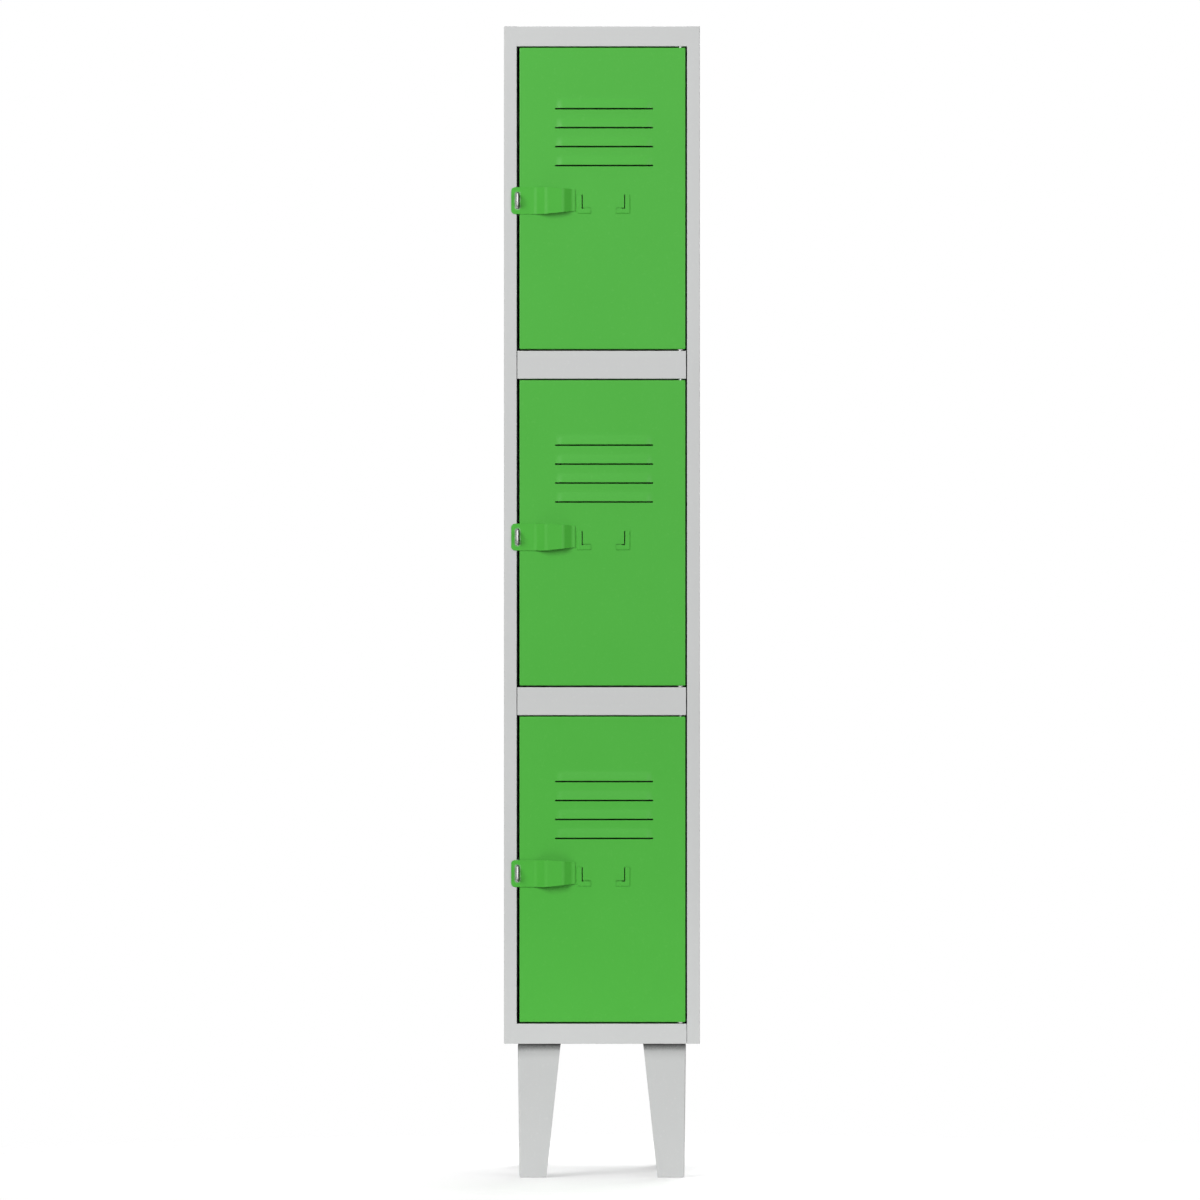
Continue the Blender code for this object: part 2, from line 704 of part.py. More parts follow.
def tongue(tier, material):
    """Plate welded to the post's return, whose nose passes through the hasp's slot."""
    name = TIER_NAMES[tier]
    middle = hasp_height_of(tier) + TONGUE_LIFT
    nose, root = TONGUE_HEIGHT / 2, TONGUE_ROOT_HEIGHT / 2
    tip = FRONT - TONGUE_REACH
    front, rear = FRONT + TONGUE_ROOT_FRONT, FRONT + TONGUE_ROOT_REAR
    outline = [(rear, middle - root), (rear, middle + root), (front, middle + root)]
    outline += [(front, middle + nose)]
    outline += arc((tip + nose, middle), nose, 90, 270, NOSE_STEPS)
    outline += [(front, middle - nose), (front, middle - root)]
    plate = slab(outline, X, TONGUE_LEFT, TONGUE_LEFT + TONGUE_PLATE)
    piece = add_piece(f"padlock_tongue_{name}", plate, material)
    centre = (tip + TONGUE_HOLE_FROM_TIP, middle)
    circle = arc(centre, TONGUE_HOLE_RADIUS, 0, 360, ROUND_SIDES)[:-1]
    hole = slab(circle, X, TONGUE_LEFT - CUTTER_PAST, TONGUE_LEFT + TONGUE_PLATE + CUTTER_PAST)
    combine(piece, add_piece(f"padlock_hole_{name}", hole), "DIFFERENCE")


def hinge_axis(tier):
    """Empty on the pivot axis that carries everything on one door."""
    hinge = bpy.data.objects.new(f"hinge_{TIER_NAMES[tier]}", None)
    hinge.location = (PIVOT_X, PIVOT_Y, door_bottom_of(tier))
    bpy.context.scene.collection.objects.link(hinge)
    return hinge


def doorway(tier, green, grey, zinc, nylon):
    """Everything that belongs to one compartment's door."""
    name = TIER_NAMES[tier]
    hinge = hinge_axis(tier)
    door(tier, hinge, green)
    stiffener(tier, hinge, green)
    hasp(tier, hinge, green)
    bush(f"hinge_bush_lower_{name}", door_bottom_of(tier), 1, True, hinge, nylon)
    bush(f"hinge_bush_upper_{name}", door_top_of(tier), -1, False, hinge, nylon)
    pin_lower(tier, zinc)
    pin_upper(tier, zinc)
    tongue(tier, grey)


def main():
    clear_scene()
    grey = finish("carcass_paint", GREY, 0.45)
    leg_grey = finish("leg_paint", GREY, 0.5)
    tongue_grey = finish("tongue_paint", GREY, 0.4)
    green = finish("door_paint", GREEN, 0.42)
    zinc = finish("zinc_plate", ZINC, 0.35, 1.0)
    nylon = finish("bush_nylon", NYLON, 0.5)
    bore = pin_bore()
    side_panel("side_panel_left", -1, grey)
    side_panel("side_panel_right", 1, grey)
    back_panel(grey)
    top_panel(grey, bore)
    for tier in range(1, TIERS):
        shelf(f"shelf_below_{TIER_NAMES[tier]}", floor_of(tier), grey, bore)
    base_panel(grey, bore, legs(leg_grey, zinc))
    for tier in range(TIERS):
        doorway(tier, green, tongue_grey, zinc, nylon)


main()
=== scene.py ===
"""Looks of the three-tier steel locker: folded sheets, louvres, hasps, pivots and finishes.

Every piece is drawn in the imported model's own frame, in metres, and rides on one of its bodies.
"""

import json
import logging
import math
from collections.abc import Callable, Iterable, Sequence
from dataclasses import dataclass, field
from enum import Enum

import bmesh
import bpy
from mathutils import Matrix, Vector

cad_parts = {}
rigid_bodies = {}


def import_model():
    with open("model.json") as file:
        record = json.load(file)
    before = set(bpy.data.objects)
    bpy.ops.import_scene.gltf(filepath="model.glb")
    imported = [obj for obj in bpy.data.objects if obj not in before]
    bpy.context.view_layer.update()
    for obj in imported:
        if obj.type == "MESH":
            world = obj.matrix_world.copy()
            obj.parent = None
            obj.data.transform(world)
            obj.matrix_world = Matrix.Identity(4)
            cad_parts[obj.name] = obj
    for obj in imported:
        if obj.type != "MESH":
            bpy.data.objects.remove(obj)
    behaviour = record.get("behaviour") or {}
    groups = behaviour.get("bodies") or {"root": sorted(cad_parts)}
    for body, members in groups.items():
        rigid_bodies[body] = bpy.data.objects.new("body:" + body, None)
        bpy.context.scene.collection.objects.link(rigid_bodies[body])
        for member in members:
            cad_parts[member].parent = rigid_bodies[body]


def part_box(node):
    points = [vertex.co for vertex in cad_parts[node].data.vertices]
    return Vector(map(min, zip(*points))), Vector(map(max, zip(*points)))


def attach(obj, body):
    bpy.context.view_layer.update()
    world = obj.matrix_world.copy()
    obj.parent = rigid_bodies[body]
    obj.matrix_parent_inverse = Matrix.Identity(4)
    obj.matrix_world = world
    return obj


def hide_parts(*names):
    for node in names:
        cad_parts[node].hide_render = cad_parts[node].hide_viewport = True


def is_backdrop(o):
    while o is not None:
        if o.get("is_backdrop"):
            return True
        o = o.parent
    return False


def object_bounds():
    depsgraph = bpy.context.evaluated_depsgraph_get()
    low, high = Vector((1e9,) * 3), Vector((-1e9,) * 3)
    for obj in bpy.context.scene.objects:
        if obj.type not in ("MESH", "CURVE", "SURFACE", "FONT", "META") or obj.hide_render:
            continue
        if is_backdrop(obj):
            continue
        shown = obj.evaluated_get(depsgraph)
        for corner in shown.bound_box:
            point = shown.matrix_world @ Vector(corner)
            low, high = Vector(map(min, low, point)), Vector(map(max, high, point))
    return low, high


for leftover in list(bpy.data.objects):
    bpy.data.objects.remove(leftover, do_unlink=True)

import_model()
cad_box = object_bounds()

log = logging.getLogger("locker")

Place = tuple[float, float, float]
Pair = tuple[float, float]
Colour = tuple[float, float, float]

MERGE_WITHIN = 1e-5
X, Y, Z = 0, 1, 2
ORIGIN = (0.0, 0.0)
WHITE = (1.0, 1.0, 1.0, 1.0)
DRILL_PAST = 0.004


class Tier(Enum):
    """The three compartments, from the floor up."""

    BOTTOM = "bottom"
    MIDDLE = "middle"
    TOP = "top"

    @property
    def body(self) -> str:
        """Name of the body that swings with this tier's door."""
        return f"{self.value}_door"


class Slot(Enum):
    """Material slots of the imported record."""

    CARCASS = "carcass_paint"
    LEG = "leg_paint"
    TONGUE = "tongue_paint"
    DOOR = "door_paint"
    HASP = "hasp_paint"
    ZINC = "zinc_plate"
    NYLON = "bush_nylon"


class Side(Enum):
    """Left and right as seen from the front."""

    LEFT = -1
    RIGHT = 1

    @property
    def label(self) -> str:
        """Lower-case name of the side."""
        return self.name.lower()


CARCASS_BODY = "carcass"


# Node trees -------------------------------------------------------------------------------------


class Wire:
    """One socket of a node tree; Python arithmetic on it adds Math nodes."""

    def __init__(self, bench: "Bench", socket: bpy.types.NodeSocket) -> None:
        """Keeps the socket and the bench that its new nodes go on."""
        self.bench = bench
        self.socket = socket

    def maths(self, operation: str, *terms: "Wire | float") -> "Wire":
        """Adds one Math node.

        Args:
            operation: The node's operation, such as "MULTIPLY".
            terms: Its inputs, in order.

        Returns:
            The node's result.
        """
        return self.bench.node("ShaderNodeMath", {"operation": operation}, dict(enumerate(terms)))

    def __add__(self, other: "Wire | float") -> "Wire":
        """Self plus other."""
        return self.maths("ADD", self, other)

    def __radd__(self, other: float) -> "Wire":
        """Other plus self."""
        return self.maths("ADD", other, self)

    def __sub__(self, other: "Wire | float") -> "Wire":
        """Self minus other."""
        return self.maths("SUBTRACT", self, other)

    def __rsub__(self, other: float) -> "Wire":
        """Other minus self."""
        return self.maths("SUBTRACT", other, self)

    def __mul__(self, other: "Wire | float") -> "Wire":
        """Self times other."""
        return self.maths("MULTIPLY", self, other)

    def __rmul__(self, other: float) -> "Wire":
        """Other times self."""
        return self.maths("MULTIPLY", other, self)

    def __truediv__(self, other: "Wire | float") -> "Wire":
        """Self over other."""
        return self.maths("DIVIDE", self, other)

    def __pow__(self, other: "Wire | float") -> "Wire":
        """Self to the power of other."""
        return self.maths("POWER", self, other)

    def __abs__(self) -> "Wire":
        """Size of self without its sign."""
        return self.maths("ABSOLUTE", self)

    def over_zero(self) -> "Wire":
        """Self, or 0 where it is negative."""
        return self.maths("MAXIMUM", self, 0.0)

    def clamped(self) -> "Wire":
        """Self held between 0 and 1."""
        return self.maths("MINIMUM", self.over_zero(), 1.0)

    def eased(self) -> "Wire":
        """Self held between 0 and 1, with a soft start and end."""
        held = self.clamped()
        return held * held * (3.0 - 2.0 * held)


class Bench:
    """Places nodes in one node tree and links them."""

    def __init__(self, tree: bpy.types.NodeTree) -> None:
        """Keeps the tree."""
        self.tree = tree

    def feed(self, socket: bpy.types.NodeSocket, value: object) -> None:
        """Links a wire to a socket, or sets the socket's own value.

        Args:
            socket: The input.
            value: The wire or the value.
        """
        if isinstance(value, Wire):
            self.tree.links.new(value.socket, socket)
        else:
            socket.default_value = value

    def node(
        self,
        kind: str,
        settings: dict[str, object] | None = None,
        inputs: dict[str | int, object] | None = None,
        output: str | int = 0,
    ) -> Wire:
        """Adds any node.

        Args:
            kind: The node's type name.
            settings: Its settings, set first; "stops" holds a ramp's (position, colour) pairs.
            inputs: Values or wires for its sockets, by name or number.
            output: The output to return.

        Returns:
            The chosen output.
        """
        made = self.tree.nodes.new(kind)
        for name, value in (settings or {}).items():
            if name == "stops":
                for stop, (position, colour) in zip(made.color_ramp.elements, value, strict=True):
                    stop.position, stop.color = position, (*colour, 1.0)
            else:
                setattr(made, name, value)
        for key, value in (inputs or {}).items():
            self.feed(made.inputs[key], value)
        return Wire(self, made.outputs[output])

    def part(self, vector: Wire, axis: str) -> Wire:
        """One axis of a vector."""
        return self.node("ShaderNodeSeparateXYZ", None, {0: vector}, axis)

    def noise(
        self, place: Wire, grain: float, detail: float = 2.0, stretch: Place = (1, 1, 1)
    ) -> Wire:
        """Noise whose lumps are about grain metres across.

        Args:
            place: Coordinates in metres.
            grain: Size of the lumps.
            detail: Octaves of finer lumps.
            stretch: How much closer the lumps lie along each axis.

        Returns:
            The noise value, about 0.5 on average.
        """
        scaled = self.node("ShaderNodeMapping", None, {"Vector": place, "Scale": stretch})
        values = {"Vector": scaled, "Scale": 1.0 / grain, "Detail": detail, "Roughness": 0.55}
        return self.node("ShaderNodeTexNoise", None, values)

    def blend(self, share: "Wire | float", first: "Wire | Colour", second: "Wire | Colour") -> Wire:
        """Mixes two colours.

        Args:
            share: 0 for the first colour and 1 for the second.
            first: A colour or a wire that carries one.
            second: The other colour.

        Returns:
            The mixed colour.
        """
        ends = [value if isinstance(value, Wire) else (*value, 1.0) for value in (first, second)]
        settings = {"data_type": "RGBA", "clamp_factor": True}
        return self.node("ShaderNodeMix", settings, {0: share, 6: ends[0], 7: ends[1]}, 2)


class Recipe:
    """A material under construction: its bench and its main shader."""

    def __init__(self, name: str) -> None:
        """Makes the material with a bare Principled shader.

        Args:
            name: The material's name.
        """
        self.material = bpy.data.materials.new(name)
        self.material.use_nodes = True
        self.bench = Bench(self.material.node_tree)
        self.shader = self.material.node_tree.nodes["Principled BSDF"]
        self.place = self.bench.node("ShaderNodeTexCoord", output="Object")

    def set(self, **values: object) -> None:
        """Feeds the main shader; a socket's spaces are written as underscores."""
        for name, value in values.items():
            self.bench.feed(self.shader.inputs[name.replace("_", " ")], value)

    def relief(self, height: Wire, depth: float) -> None:
        """Bumps the surface by height, which runs over depth metres."""
        values = {"Height": height, "Distance": depth, "Strength": 1.0}
        self.set(Normal=self.bench.node("ShaderNodeBump", None, values))


# Finishes ---------------------------------------------------------------------------------------


@dataclass(frozen=True)
class PowderCoat:
    """Baked powder paint on steel: an orange-peel skin that thins a little over the folds."""

    name: str
    colour: Colour
    cloud: Colour
    edge: Colour
    roughness: float = 0.46
    roughness_spread: float = 0.10
    gloss: float = 0.30
    peel_grain: float = 0.0016
    peel_depth: float = 0.000035
    cloud_grain: float = 0.22
    smudge_grain: float = 0.06
    fleck_grain: float = 0.0045
    chip_grain: float = 0.009
    speck_grain: float = 0.006
    cloud_from: float = 0.35
    cloud_gain: float = 2.2
    fleck_from: float = 0.62
    fleck_gain: float = 0.9
    chip_from: float = 0.15
    chip_gain: float = 1.2
    chip_share: float = 0.55
    fold_polish: float = 0.06
    speck_from: float = 0.78
    speck_gain: float = 6.0

    def base(self) -> tuple[Recipe, Wire, Wire]:
        """Builds the sound paint.

        Returns:
            The recipe, its colour and its roughness.
        """
        recipe = Recipe(self.name)
        bench = recipe.bench
        clouds = bench.noise(recipe.place, self.cloud_grain, 3.0)
        flecks = bench.noise(recipe.place, self.fleck_grain, 1.0)
        clouded = (clouds - self.cloud_from) * self.cloud_gain
        flecked = (flecks - self.fleck_from) * self.fleck_gain
        colour = bench.blend(clouded, self.colour, self.cloud)
        colour = bench.blend(flecked, colour, self.edge)
        fold = bench.node("ShaderNodeAttribute", {"attribute_name": "fold"}, output="Fac")
        broken = bench.noise(recipe.place, self.chip_grain, 3.0)
        chips = (broken * self.chip_gain - self.chip_from).clamped()
        colour = bench.blend(fold * chips * self.chip_share, colour, self.edge)
        smudges = bench.noise(recipe.place, self.smudge_grain, 4.0, (1.0, 1.0, 0.45))
        roughness = self.roughness + (smudges - 0.5) * self.roughness_spread
        return recipe, colour, roughness - fold * self.fold_polish

    def finished(self, recipe: Recipe) -> bpy.types.Material:
        """Gives the paint its gloss and its orange-peel skin, with the odd speck of dust in it.

        Args:
            recipe: The paint, its colour and roughness already set.

        Returns:
            The finished material.
        """
        recipe.set(Specular_IOR_Level=self.gloss)
        skin = recipe.bench.noise(recipe.place, self.peel_grain, 1.0)
        dust = recipe.bench.noise(recipe.place, self.speck_grain, 0.0)
        specks = (dust - self.speck_from).clamped() * self.speck_gain
        recipe.relief(skin + specks, self.peel_depth)
        return recipe.material

    def material(self) -> bpy.types.Material:
        """Builds the node tree.

        Returns:
            The finished material.
        """
        recipe, colour, roughness = self.base()
        recipe.set(Base_Color=colour, Roughness=roughness)
        return self.finished(recipe)


@dataclass(frozen=True)
class RubbedCoat(PowderCoat):
    """Powder paint that a padlock's shackle has begun to rub away round a slot or hole."""

    steel: Colour = (0.46, 0.47, 0.47)
    slot_half: float = 0.0
    slot_radius: float = 0.004
    rub_reach: float = 0.0022
    rub: float = 0.55
    flake_grain: float = 0.0014

    def material(self) -> bpy.types.Material:
        """Builds the node tree; "near" holds each point's offset from the slot's middle.

        Returns:
            The finished material.
        """
        recipe, colour, roughness = self.base()
        bench = recipe.bench
        near = bench.node("ShaderNodeAttribute", {"attribute_name": "near"}, output="Vector")
        across, along = bench.part(near, "X"), bench.part(near, "Y")
        past = (abs(along) - self.slot_half).over_zero()
        away = (across * across + past * past) ** 0.5 - self.slot_radius
        flakes = bench.noise(recipe.place, self.flake_grain, 4.0)
        bare = (1.0 - away / self.rub_reach + (flakes - 0.5) * 2.4).eased() * self.rub
        recipe.set(
            Base_Color=bench.blend(bare, colour, self.steel),
            Roughness=roughness + bare * 0.05,
            Metallic=bare * 0.7,
        )
        return self.finished(recipe)


@dataclass(frozen=True)
class GrimyCoat(PowderCoat):
    """Powder paint darkened along its top, close under the body: painted shade that stands in for the body's
    shadow on it.
    """

    # Colour of the painted shade along the top, where the body's shadow falls.
    grime: Colour = (0.06, 0.06, 0.06)
    top: float = 0.0
    reach: float = 0.0130
    cover: float = 0.8
    ragged_grain: float = 0.0022

    def material(self) -> bpy.types.Material:
        """Builds the node tree.

        Returns:
            The finished material.
        """
        recipe, colour, roughness = self.base()
        bench = recipe.bench
        # Painted shade: the paint darkens within reach of the top, under the body, with a ragged lower edge, in
        # place of the cast shadow.
        below = (self.top - bench.part(recipe.place, "Z")) / self.reach
        ragged = bench.noise(recipe.place, self.ragged_grain, 2.0)
        grime = (1.0 - below + (ragged - 0.5) * 0.5).eased() * self.cover
        recipe.set(
            Base_Color=bench.blend(grime, colour, self.grime),
            Roughness=roughness + grime * 0.25,
        )
        return self.finished(recipe)


@dataclass(frozen=True)
class ZincPlate:
    """Bright zinc on turned steel, with tool rings and dull patches."""

    name: str
    bright: Colour = (0.62, 0.63, 0.64)
    dull: Colour = (0.46, 0.47, 0.47)
    patch_grain: float = 0.004
    ring_pitch: float = 0.00035
    ring_depth: float = 0.00002

    def material(self) -> bpy.types.Material:
        """Builds the node tree.

        Returns:
            The finished material.
        """
        recipe = Recipe(self.name)
        bench = recipe.bench
        patches = bench.noise(recipe.place, self.patch_grain, 4.0)
        rings = bench.noise(recipe.place, self.ring_pitch, 1.0, (0.15, 0.15, 1.0))
        recipe.set(
            Base_Color=bench.blend((patches - 0.3) * 2.0, self.bright, self.dull),
            Roughness=0.24 + patches * 0.22,
            Metallic=1.0,
        )
        recipe.relief(rings + patches * 0.6, self.ring_depth)
        return recipe.material


@dataclass(frozen=True)
class Nylon:
    """Moulded natural nylon, slightly mottled."""

    name: str
    colour: Colour = (0.74, 0.74, 0.71)
    mottle: Colour = (0.62, 0.62, 0.58)
    mottle_grain: float = 0.003
    skin_grain: float = 0.0006
    skin_depth: float = 0.00001

    def material(self) -> bpy.types.Material:
        """Builds the node tree.

        Returns:
            The finished material.
        """
        recipe = Recipe(self.name)
        bench = recipe.bench
        mottle = bench.noise(recipe.place, self.mottle_grain, 3.0)
        recipe.set(
            Base_Color=bench.blend((mottle - 0.4) * 1.6, self.colour, self.mottle),
            Roughness=0.42 + mottle * 0.16,
        )
        recipe.relief(bench.noise(recipe.place, self.skin_grain, 2.0), self.skin_depth)
        return recipe.material


@dataclass(frozen=True)
class StudioFloor:
    """Pale matt floor that fades out well away from the object."""

    name: str = "studio_floor"
    colour: Colour = (0.70, 0.70, 0.70)
    worn: Colour = (0.67, 0.67, 0.67)
    mottle_grain: float = 0.4
    glow: float = 0.33
    fade_from: float = 0.5
    fade_to: float = 1.5

    def material(self) -> bpy.types.Material:
        """Builds the node tree.

        Returns:
            The finished material.
        """
        recipe = Recipe(self.name)
        bench = recipe.bench
        mottle = bench.noise(recipe.place, self.mottle_grain, 3.0)
        length = {"operation": "LENGTH"}
        distance = bench.node("ShaderNodeVectorMath", length, {0: recipe.place}, "Value")
        gone = (distance - self.fade_from) / (self.fade_to - self.fade_from)
        recipe.set(
            Base_Color=bench.blend(mottle * 0.3, self.colour, self.worn),
            Roughness=0.62 + mottle * 0.1,
            Emission_Color=WHITE,
            Emission_Strength=self.glow,
            Alpha=1.0 - gone.eased(),
        )
        return recipe.material


class Paints:
    """Every finish on the locker, made once."""

    def __init__(self, body_foot: float) -> None:
        """Makes the materials.

        Args:
            body_foot: Height of the body's underside.
        """
        grey, grey_cloud = (0.580, 0.588, 0.585), (0.560, 0.568, 0.565)
        leg_grey, leg_cloud = (0.525, 0.533, 0.530), (0.508, 0.516, 0.513)
        grey_edge = (0.70, 0.70, 0.69)
        green, green_cloud = (0.070, 0.432, 0.044), (0.066, 0.420, 0.041)
        green_edge, hasp_edge = (0.13, 0.52, 0.09), (0.09, 0.46, 0.06)
        pale, pale_cloud, pale_edge = (0.90, 0.90, 0.90), (0.86, 0.86, 0.86), (0.93, 0.93, 0.93)
        self.carcass = PowderCoat("carcass_grey", grey, grey_cloud, grey_edge).material()
        # The legs' paint carries painted shade along its top, where the body's shadow falls.
        self.leg = GrimyCoat(
            "leg_grey", leg_grey, leg_cloud, grey_edge, roughness=0.48, top=body_foot
        ).material()
        self.door = PowderCoat(
            "door_green", green, green_cloud, green_edge, roughness=0.44
        ).material()
        self.hasp = RubbedCoat(
            "hasp_green",
            green,
            green_cloud,
            hasp_edge,
            roughness=0.52,
            gloss=0.20,
            slot_half=0.010,
            slot_radius=0.0035,
            rub=0.35,
        ).material()
        self.tongue = RubbedCoat(
            "tongue_grey", pale, pale_cloud, pale_edge, rub=0.20
        ).material()
        self.zinc = ZincPlate("zinc").material()
        self.nylon = Nylon("nylon").material()


# Making meshes ----------------------------------------------------------------------------------


Step = tuple[str, dict[str, object]]


def mesh_of(shape: bmesh.types.BMesh, name: str = "draft") -> bpy.types.Mesh:
    """Turns a bmesh into a mesh.

    Args:
        shape: The bmesh; it is freed.
        name: The mesh's name.

    Returns:
        The mesh.
    """
    mesh = bpy.data.meshes.new(name)
    shape.to_mesh(mesh)
    shape.free()
    return mesh


def placed(name: str, data: bpy.types.ID) -> bpy.types.Object:
    """Puts a new object in the scene.

    Args:
        name: The object's name.
        data: Its mesh, light or camera.

    Returns:
        The object.
    """
    thing = bpy.data.objects.new(name, data)
    bpy.context.scene.collection.objects.link(thing)
    return thing


def discard(thing: bpy.types.Object) -> None:
    """Removes an object and its mesh.

    Args:
        thing: The object.
    """
    mesh = thing.data
    bpy.data.objects.remove(thing)
    bpy.data.meshes.remove(mesh)


def evaluated(draft: bpy.types.Object) -> bpy.types.Mesh:
    """Takes what comes out of an object's modifiers.

    Args:
        draft: The object; it is removed with its modifiers and its mesh.

    Returns:
        The plain mesh.
    """
    graph = bpy.context.evaluated_depsgraph_get()
    graph.update()
    result = bpy.data.meshes.new_from_object(
        draft.evaluated_get(graph), preserve_all_data_layers=True, depsgraph=graph
    )
    discard(draft)
    return result


def through(mesh: bpy.types.Mesh, steps: Iterable[Step]) -> bpy.types.Mesh:
    """Runs a mesh through modifiers.

    Args:
        mesh: The start; it is removed.
        steps: Modifier types with their settings, in order.

    Returns:
        The plain mesh that comes out.
    """
    draft = placed("draft", mesh)
    for kind, settings in steps:
        modifier = draft.modifiers.new(kind.lower(), kind)
        for name, value in settings.items():
            setattr(modifier, name, value)
    return evaluated(draft)


def cut(mesh: bpy.types.Mesh, cutters: Sequence[bmesh.types.BMesh]) -> bpy.types.Mesh:
    """Cuts closed shapes out of a closed mesh.

    Args:
        mesh: The mesh; it is removed.
        cutters: The shapes; they are freed.

    Returns:
        What is left.
    """
    helpers = [placed("cutter", mesh_of(cutter, "cutter")) for cutter in cutters]
    settings = {"operation": "DIFFERENCE", "solver": "EXACT"}
    result = through(mesh, [("BOOLEAN", {**settings, "object": helper}) for helper in helpers])
    for helper in helpers:
        discard(helper)
    return result


def thickened(mesh: bpy.types.Mesh, thickness: float) -> bpy.types.Mesh:
    """Gives a sheet its thickness, inwards from its faces."""
    settings = {"thickness": thickness, "offset": -1.0, "use_even_offset": True}
    return through(mesh, [("SOLIDIFY", settings)])


def blunted(mesh: bpy.types.Mesh, width: float, steps: int, least: float) -> bpy.types.Mesh:
    """Takes the sharpness off a plate's edges.

    Args:
        mesh: The plate; it is removed.
        width: How far back the edges are taken.
        steps: Faces across each edge.
        least: Smallest angle in radians that counts as an edge.

    Returns:
        The blunted mesh.
    """
    settings = {"width": width, "segments": steps, "limit_method": "ANGLE", "angle_limit": least}
    return through(mesh, [("BEVEL", settings)])


def shaded(mesh: bpy.types.Mesh, sharp_from: float = 40.0) -> bpy.types.Mesh:
    """Shades a mesh smooth over its curves and keeps its flats flat and its edges sharp.

    Args:
        mesh: The mesh; it is removed.
        sharp_from: Smallest angle in degrees that stays sharp.

    Returns:
        The shaded mesh.
    """
    mesh.shade_smooth()
    mesh.set_sharp_from_angle(angle=math.radians(sharp_from))
    return through(mesh, [("WEIGHTED_NORMAL", {"keep_sharp": True, "weight": 80})])


def publish(
    name: str,
    mesh: bpy.types.Mesh,
    material: bpy.types.Material,
    body: str,
    stands_for: Sequence[str] = (),
) -> bpy.types.Object:
    """Makes a finished piece of a mesh.

    Args:
        name: The piece's name.
        mesh: Its mesh, already in place.
        material: Its finish.
        body: The body that it rides on.
        stands_for: The CAD nodes that it replaces.

    Returns:
        The piece.
    """
    mesh.name = name
    mesh.materials.clear()
    mesh.materials.append(material)
    piece = placed(name, mesh)
    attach(piece, body)
    if stands_for:
        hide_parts(*stands_for)
    log.info("%s rides on %s, %d faces", name, body, len(mesh.polygons))
    return piece


class FoldedSheet:
    """Outer faces of a sheet with sharp folds, which are rounded before it gets its thickness."""

    def __init__(self) -> None:
        """Starts an empty sheet."""
        self.shape = bmesh.new()
        self.points: dict[Place, bmesh.types.BMVert] = {}

    def point(self, place: Sequence[float]) -> bmesh.types.BMVert:
        """Finds or makes the sheet's one point at a place.

        Args:
            place: The place.

        Returns:
            The point.
        """
        key = tuple(round(value, 6) for value in place)
        if key not in self.points:
            self.points[key] = self.shape.verts.new(place)
        return self.points[key]

    def face(self, corners: Sequence[Sequence[float]], outward: Sequence[float]) -> None:
        """Adds one flat face.

        Args:
            corners: Its corners, in order round it.
            outward: The way that it looks.
        """
        places = [Vector(corner) for corner in corners]
        normal = (places[1] - places[0]).cross(places[2] - places[0])
        if normal.dot(Vector(outward)) < 0:
            places.reverse()
        self.shape.faces.new([self.point(place) for place in places])

    def grid(
        self,
        axis: int,
        level: float,
        first: Sequence[float],
        second: Sequence[float],
        side: int,
        skip: Callable[[int, int], bool] = lambda i, j: False,
    ) -> None:
        """Adds faces between grid lines on the plane axis = level.

        Args:
            axis: The axis that the plane is square to.
            level: The plane's place on it.
            first: Lines along the first of the other two axes.
            second: Lines along the second.
            side: +1 or -1, the way that the faces look along axis.
            skip: Says which cells stay open.
        """
        outward = [0.0, 0.0, 0.0]
        outward[axis] = side
        for i in range(len(first) - 1):
            for j in range(len(second) - 1):
                if skip(i, j):
                    continue
                corners = []
                for a, b in ((i, j), (i + 1, j), (i + 1, j + 1), (i, j + 1)):
                    place = [first[a], second[b]]
                    place.insert(axis, level)
                    corners.append(place)
                self.face(corners, outward)

    def add(self, mesh: bpy.types.Mesh) -> None:
        """Joins a ready-made patch on where their points meet.

        Args:
            mesh: The patch; it is removed.
        """
        self.shape.from_mesh(mesh)
        bpy.data.meshes.remove(mesh)
        bmesh.ops.remove_doubles(self.shape, verts=self.shape.verts, dist=MERGE_WITHIN)

    def solid(
        self, thickness: float, radius: float, steps: int = 3, fold_from: float = 60.0
    ) -> bpy.types.Mesh:
        """Rounds the folds and thickens the sheet inwards.

        Args:
            thickness: The sheet's thickness.
            radius: Outer radius of the folds.
            steps: Faces across each fold.
            fold_from: Smallest angle in degrees that counts as a fold.

        Returns:
            The closed mesh, with the "fold" attribute at 1 over the folds.
        """
        bmesh.ops.remove_doubles(self.shape, verts=self.shape.verts, dist=MERGE_WITHIN)
        least = math.radians(fold_from)
        folds = [e for e in self.shape.edges if e.is_manifold and e.calc_face_angle(0.0) > least]
        rounded = bmesh.ops.bevel(
            self.shape,
            geom=folds,
            offset=radius,
            offset_type="OFFSET",
            segments=steps,
            profile=0.5,
            affect="EDGES",
            clamp_overlap=True,
        )
        curved = set(rounded["faces"])
        layer = self.shape.verts.layers.float.new("fold")
        for vertex in self.shape.verts:
            if vertex.link_faces and all(f in curved for f in vertex.link_faces):
                vertex[layer] = 1.0
        return thickened(mesh_of(self.shape), thickness)


def arc(centre: Pair, radius: float, start: float, end: float, steps: int) -> list[Pair]:
    """Points on an arc, from start to end in degrees."""
    angles = [math.radians(start + (end - start) * step / steps) for step in range(steps + 1)]
    return [(centre[0] + radius * math.cos(a), centre[1] + radius * math.sin(a)) for a in angles]


def lines_of(start: float, runs: Sequence[tuple[int, float]]) -> list[float]:
    """Spaces grid lines out over runs of cells.

    Args:
        start: The first line.
        runs: Each run's number of cells and its length.

    Returns:
        The lines, from start on.
    """
    lines = [start]
    for cells, length in runs:
        first = lines[-1]
        lines += [first + length * (n + 1) / cells for n in range(cells)]
    return lines


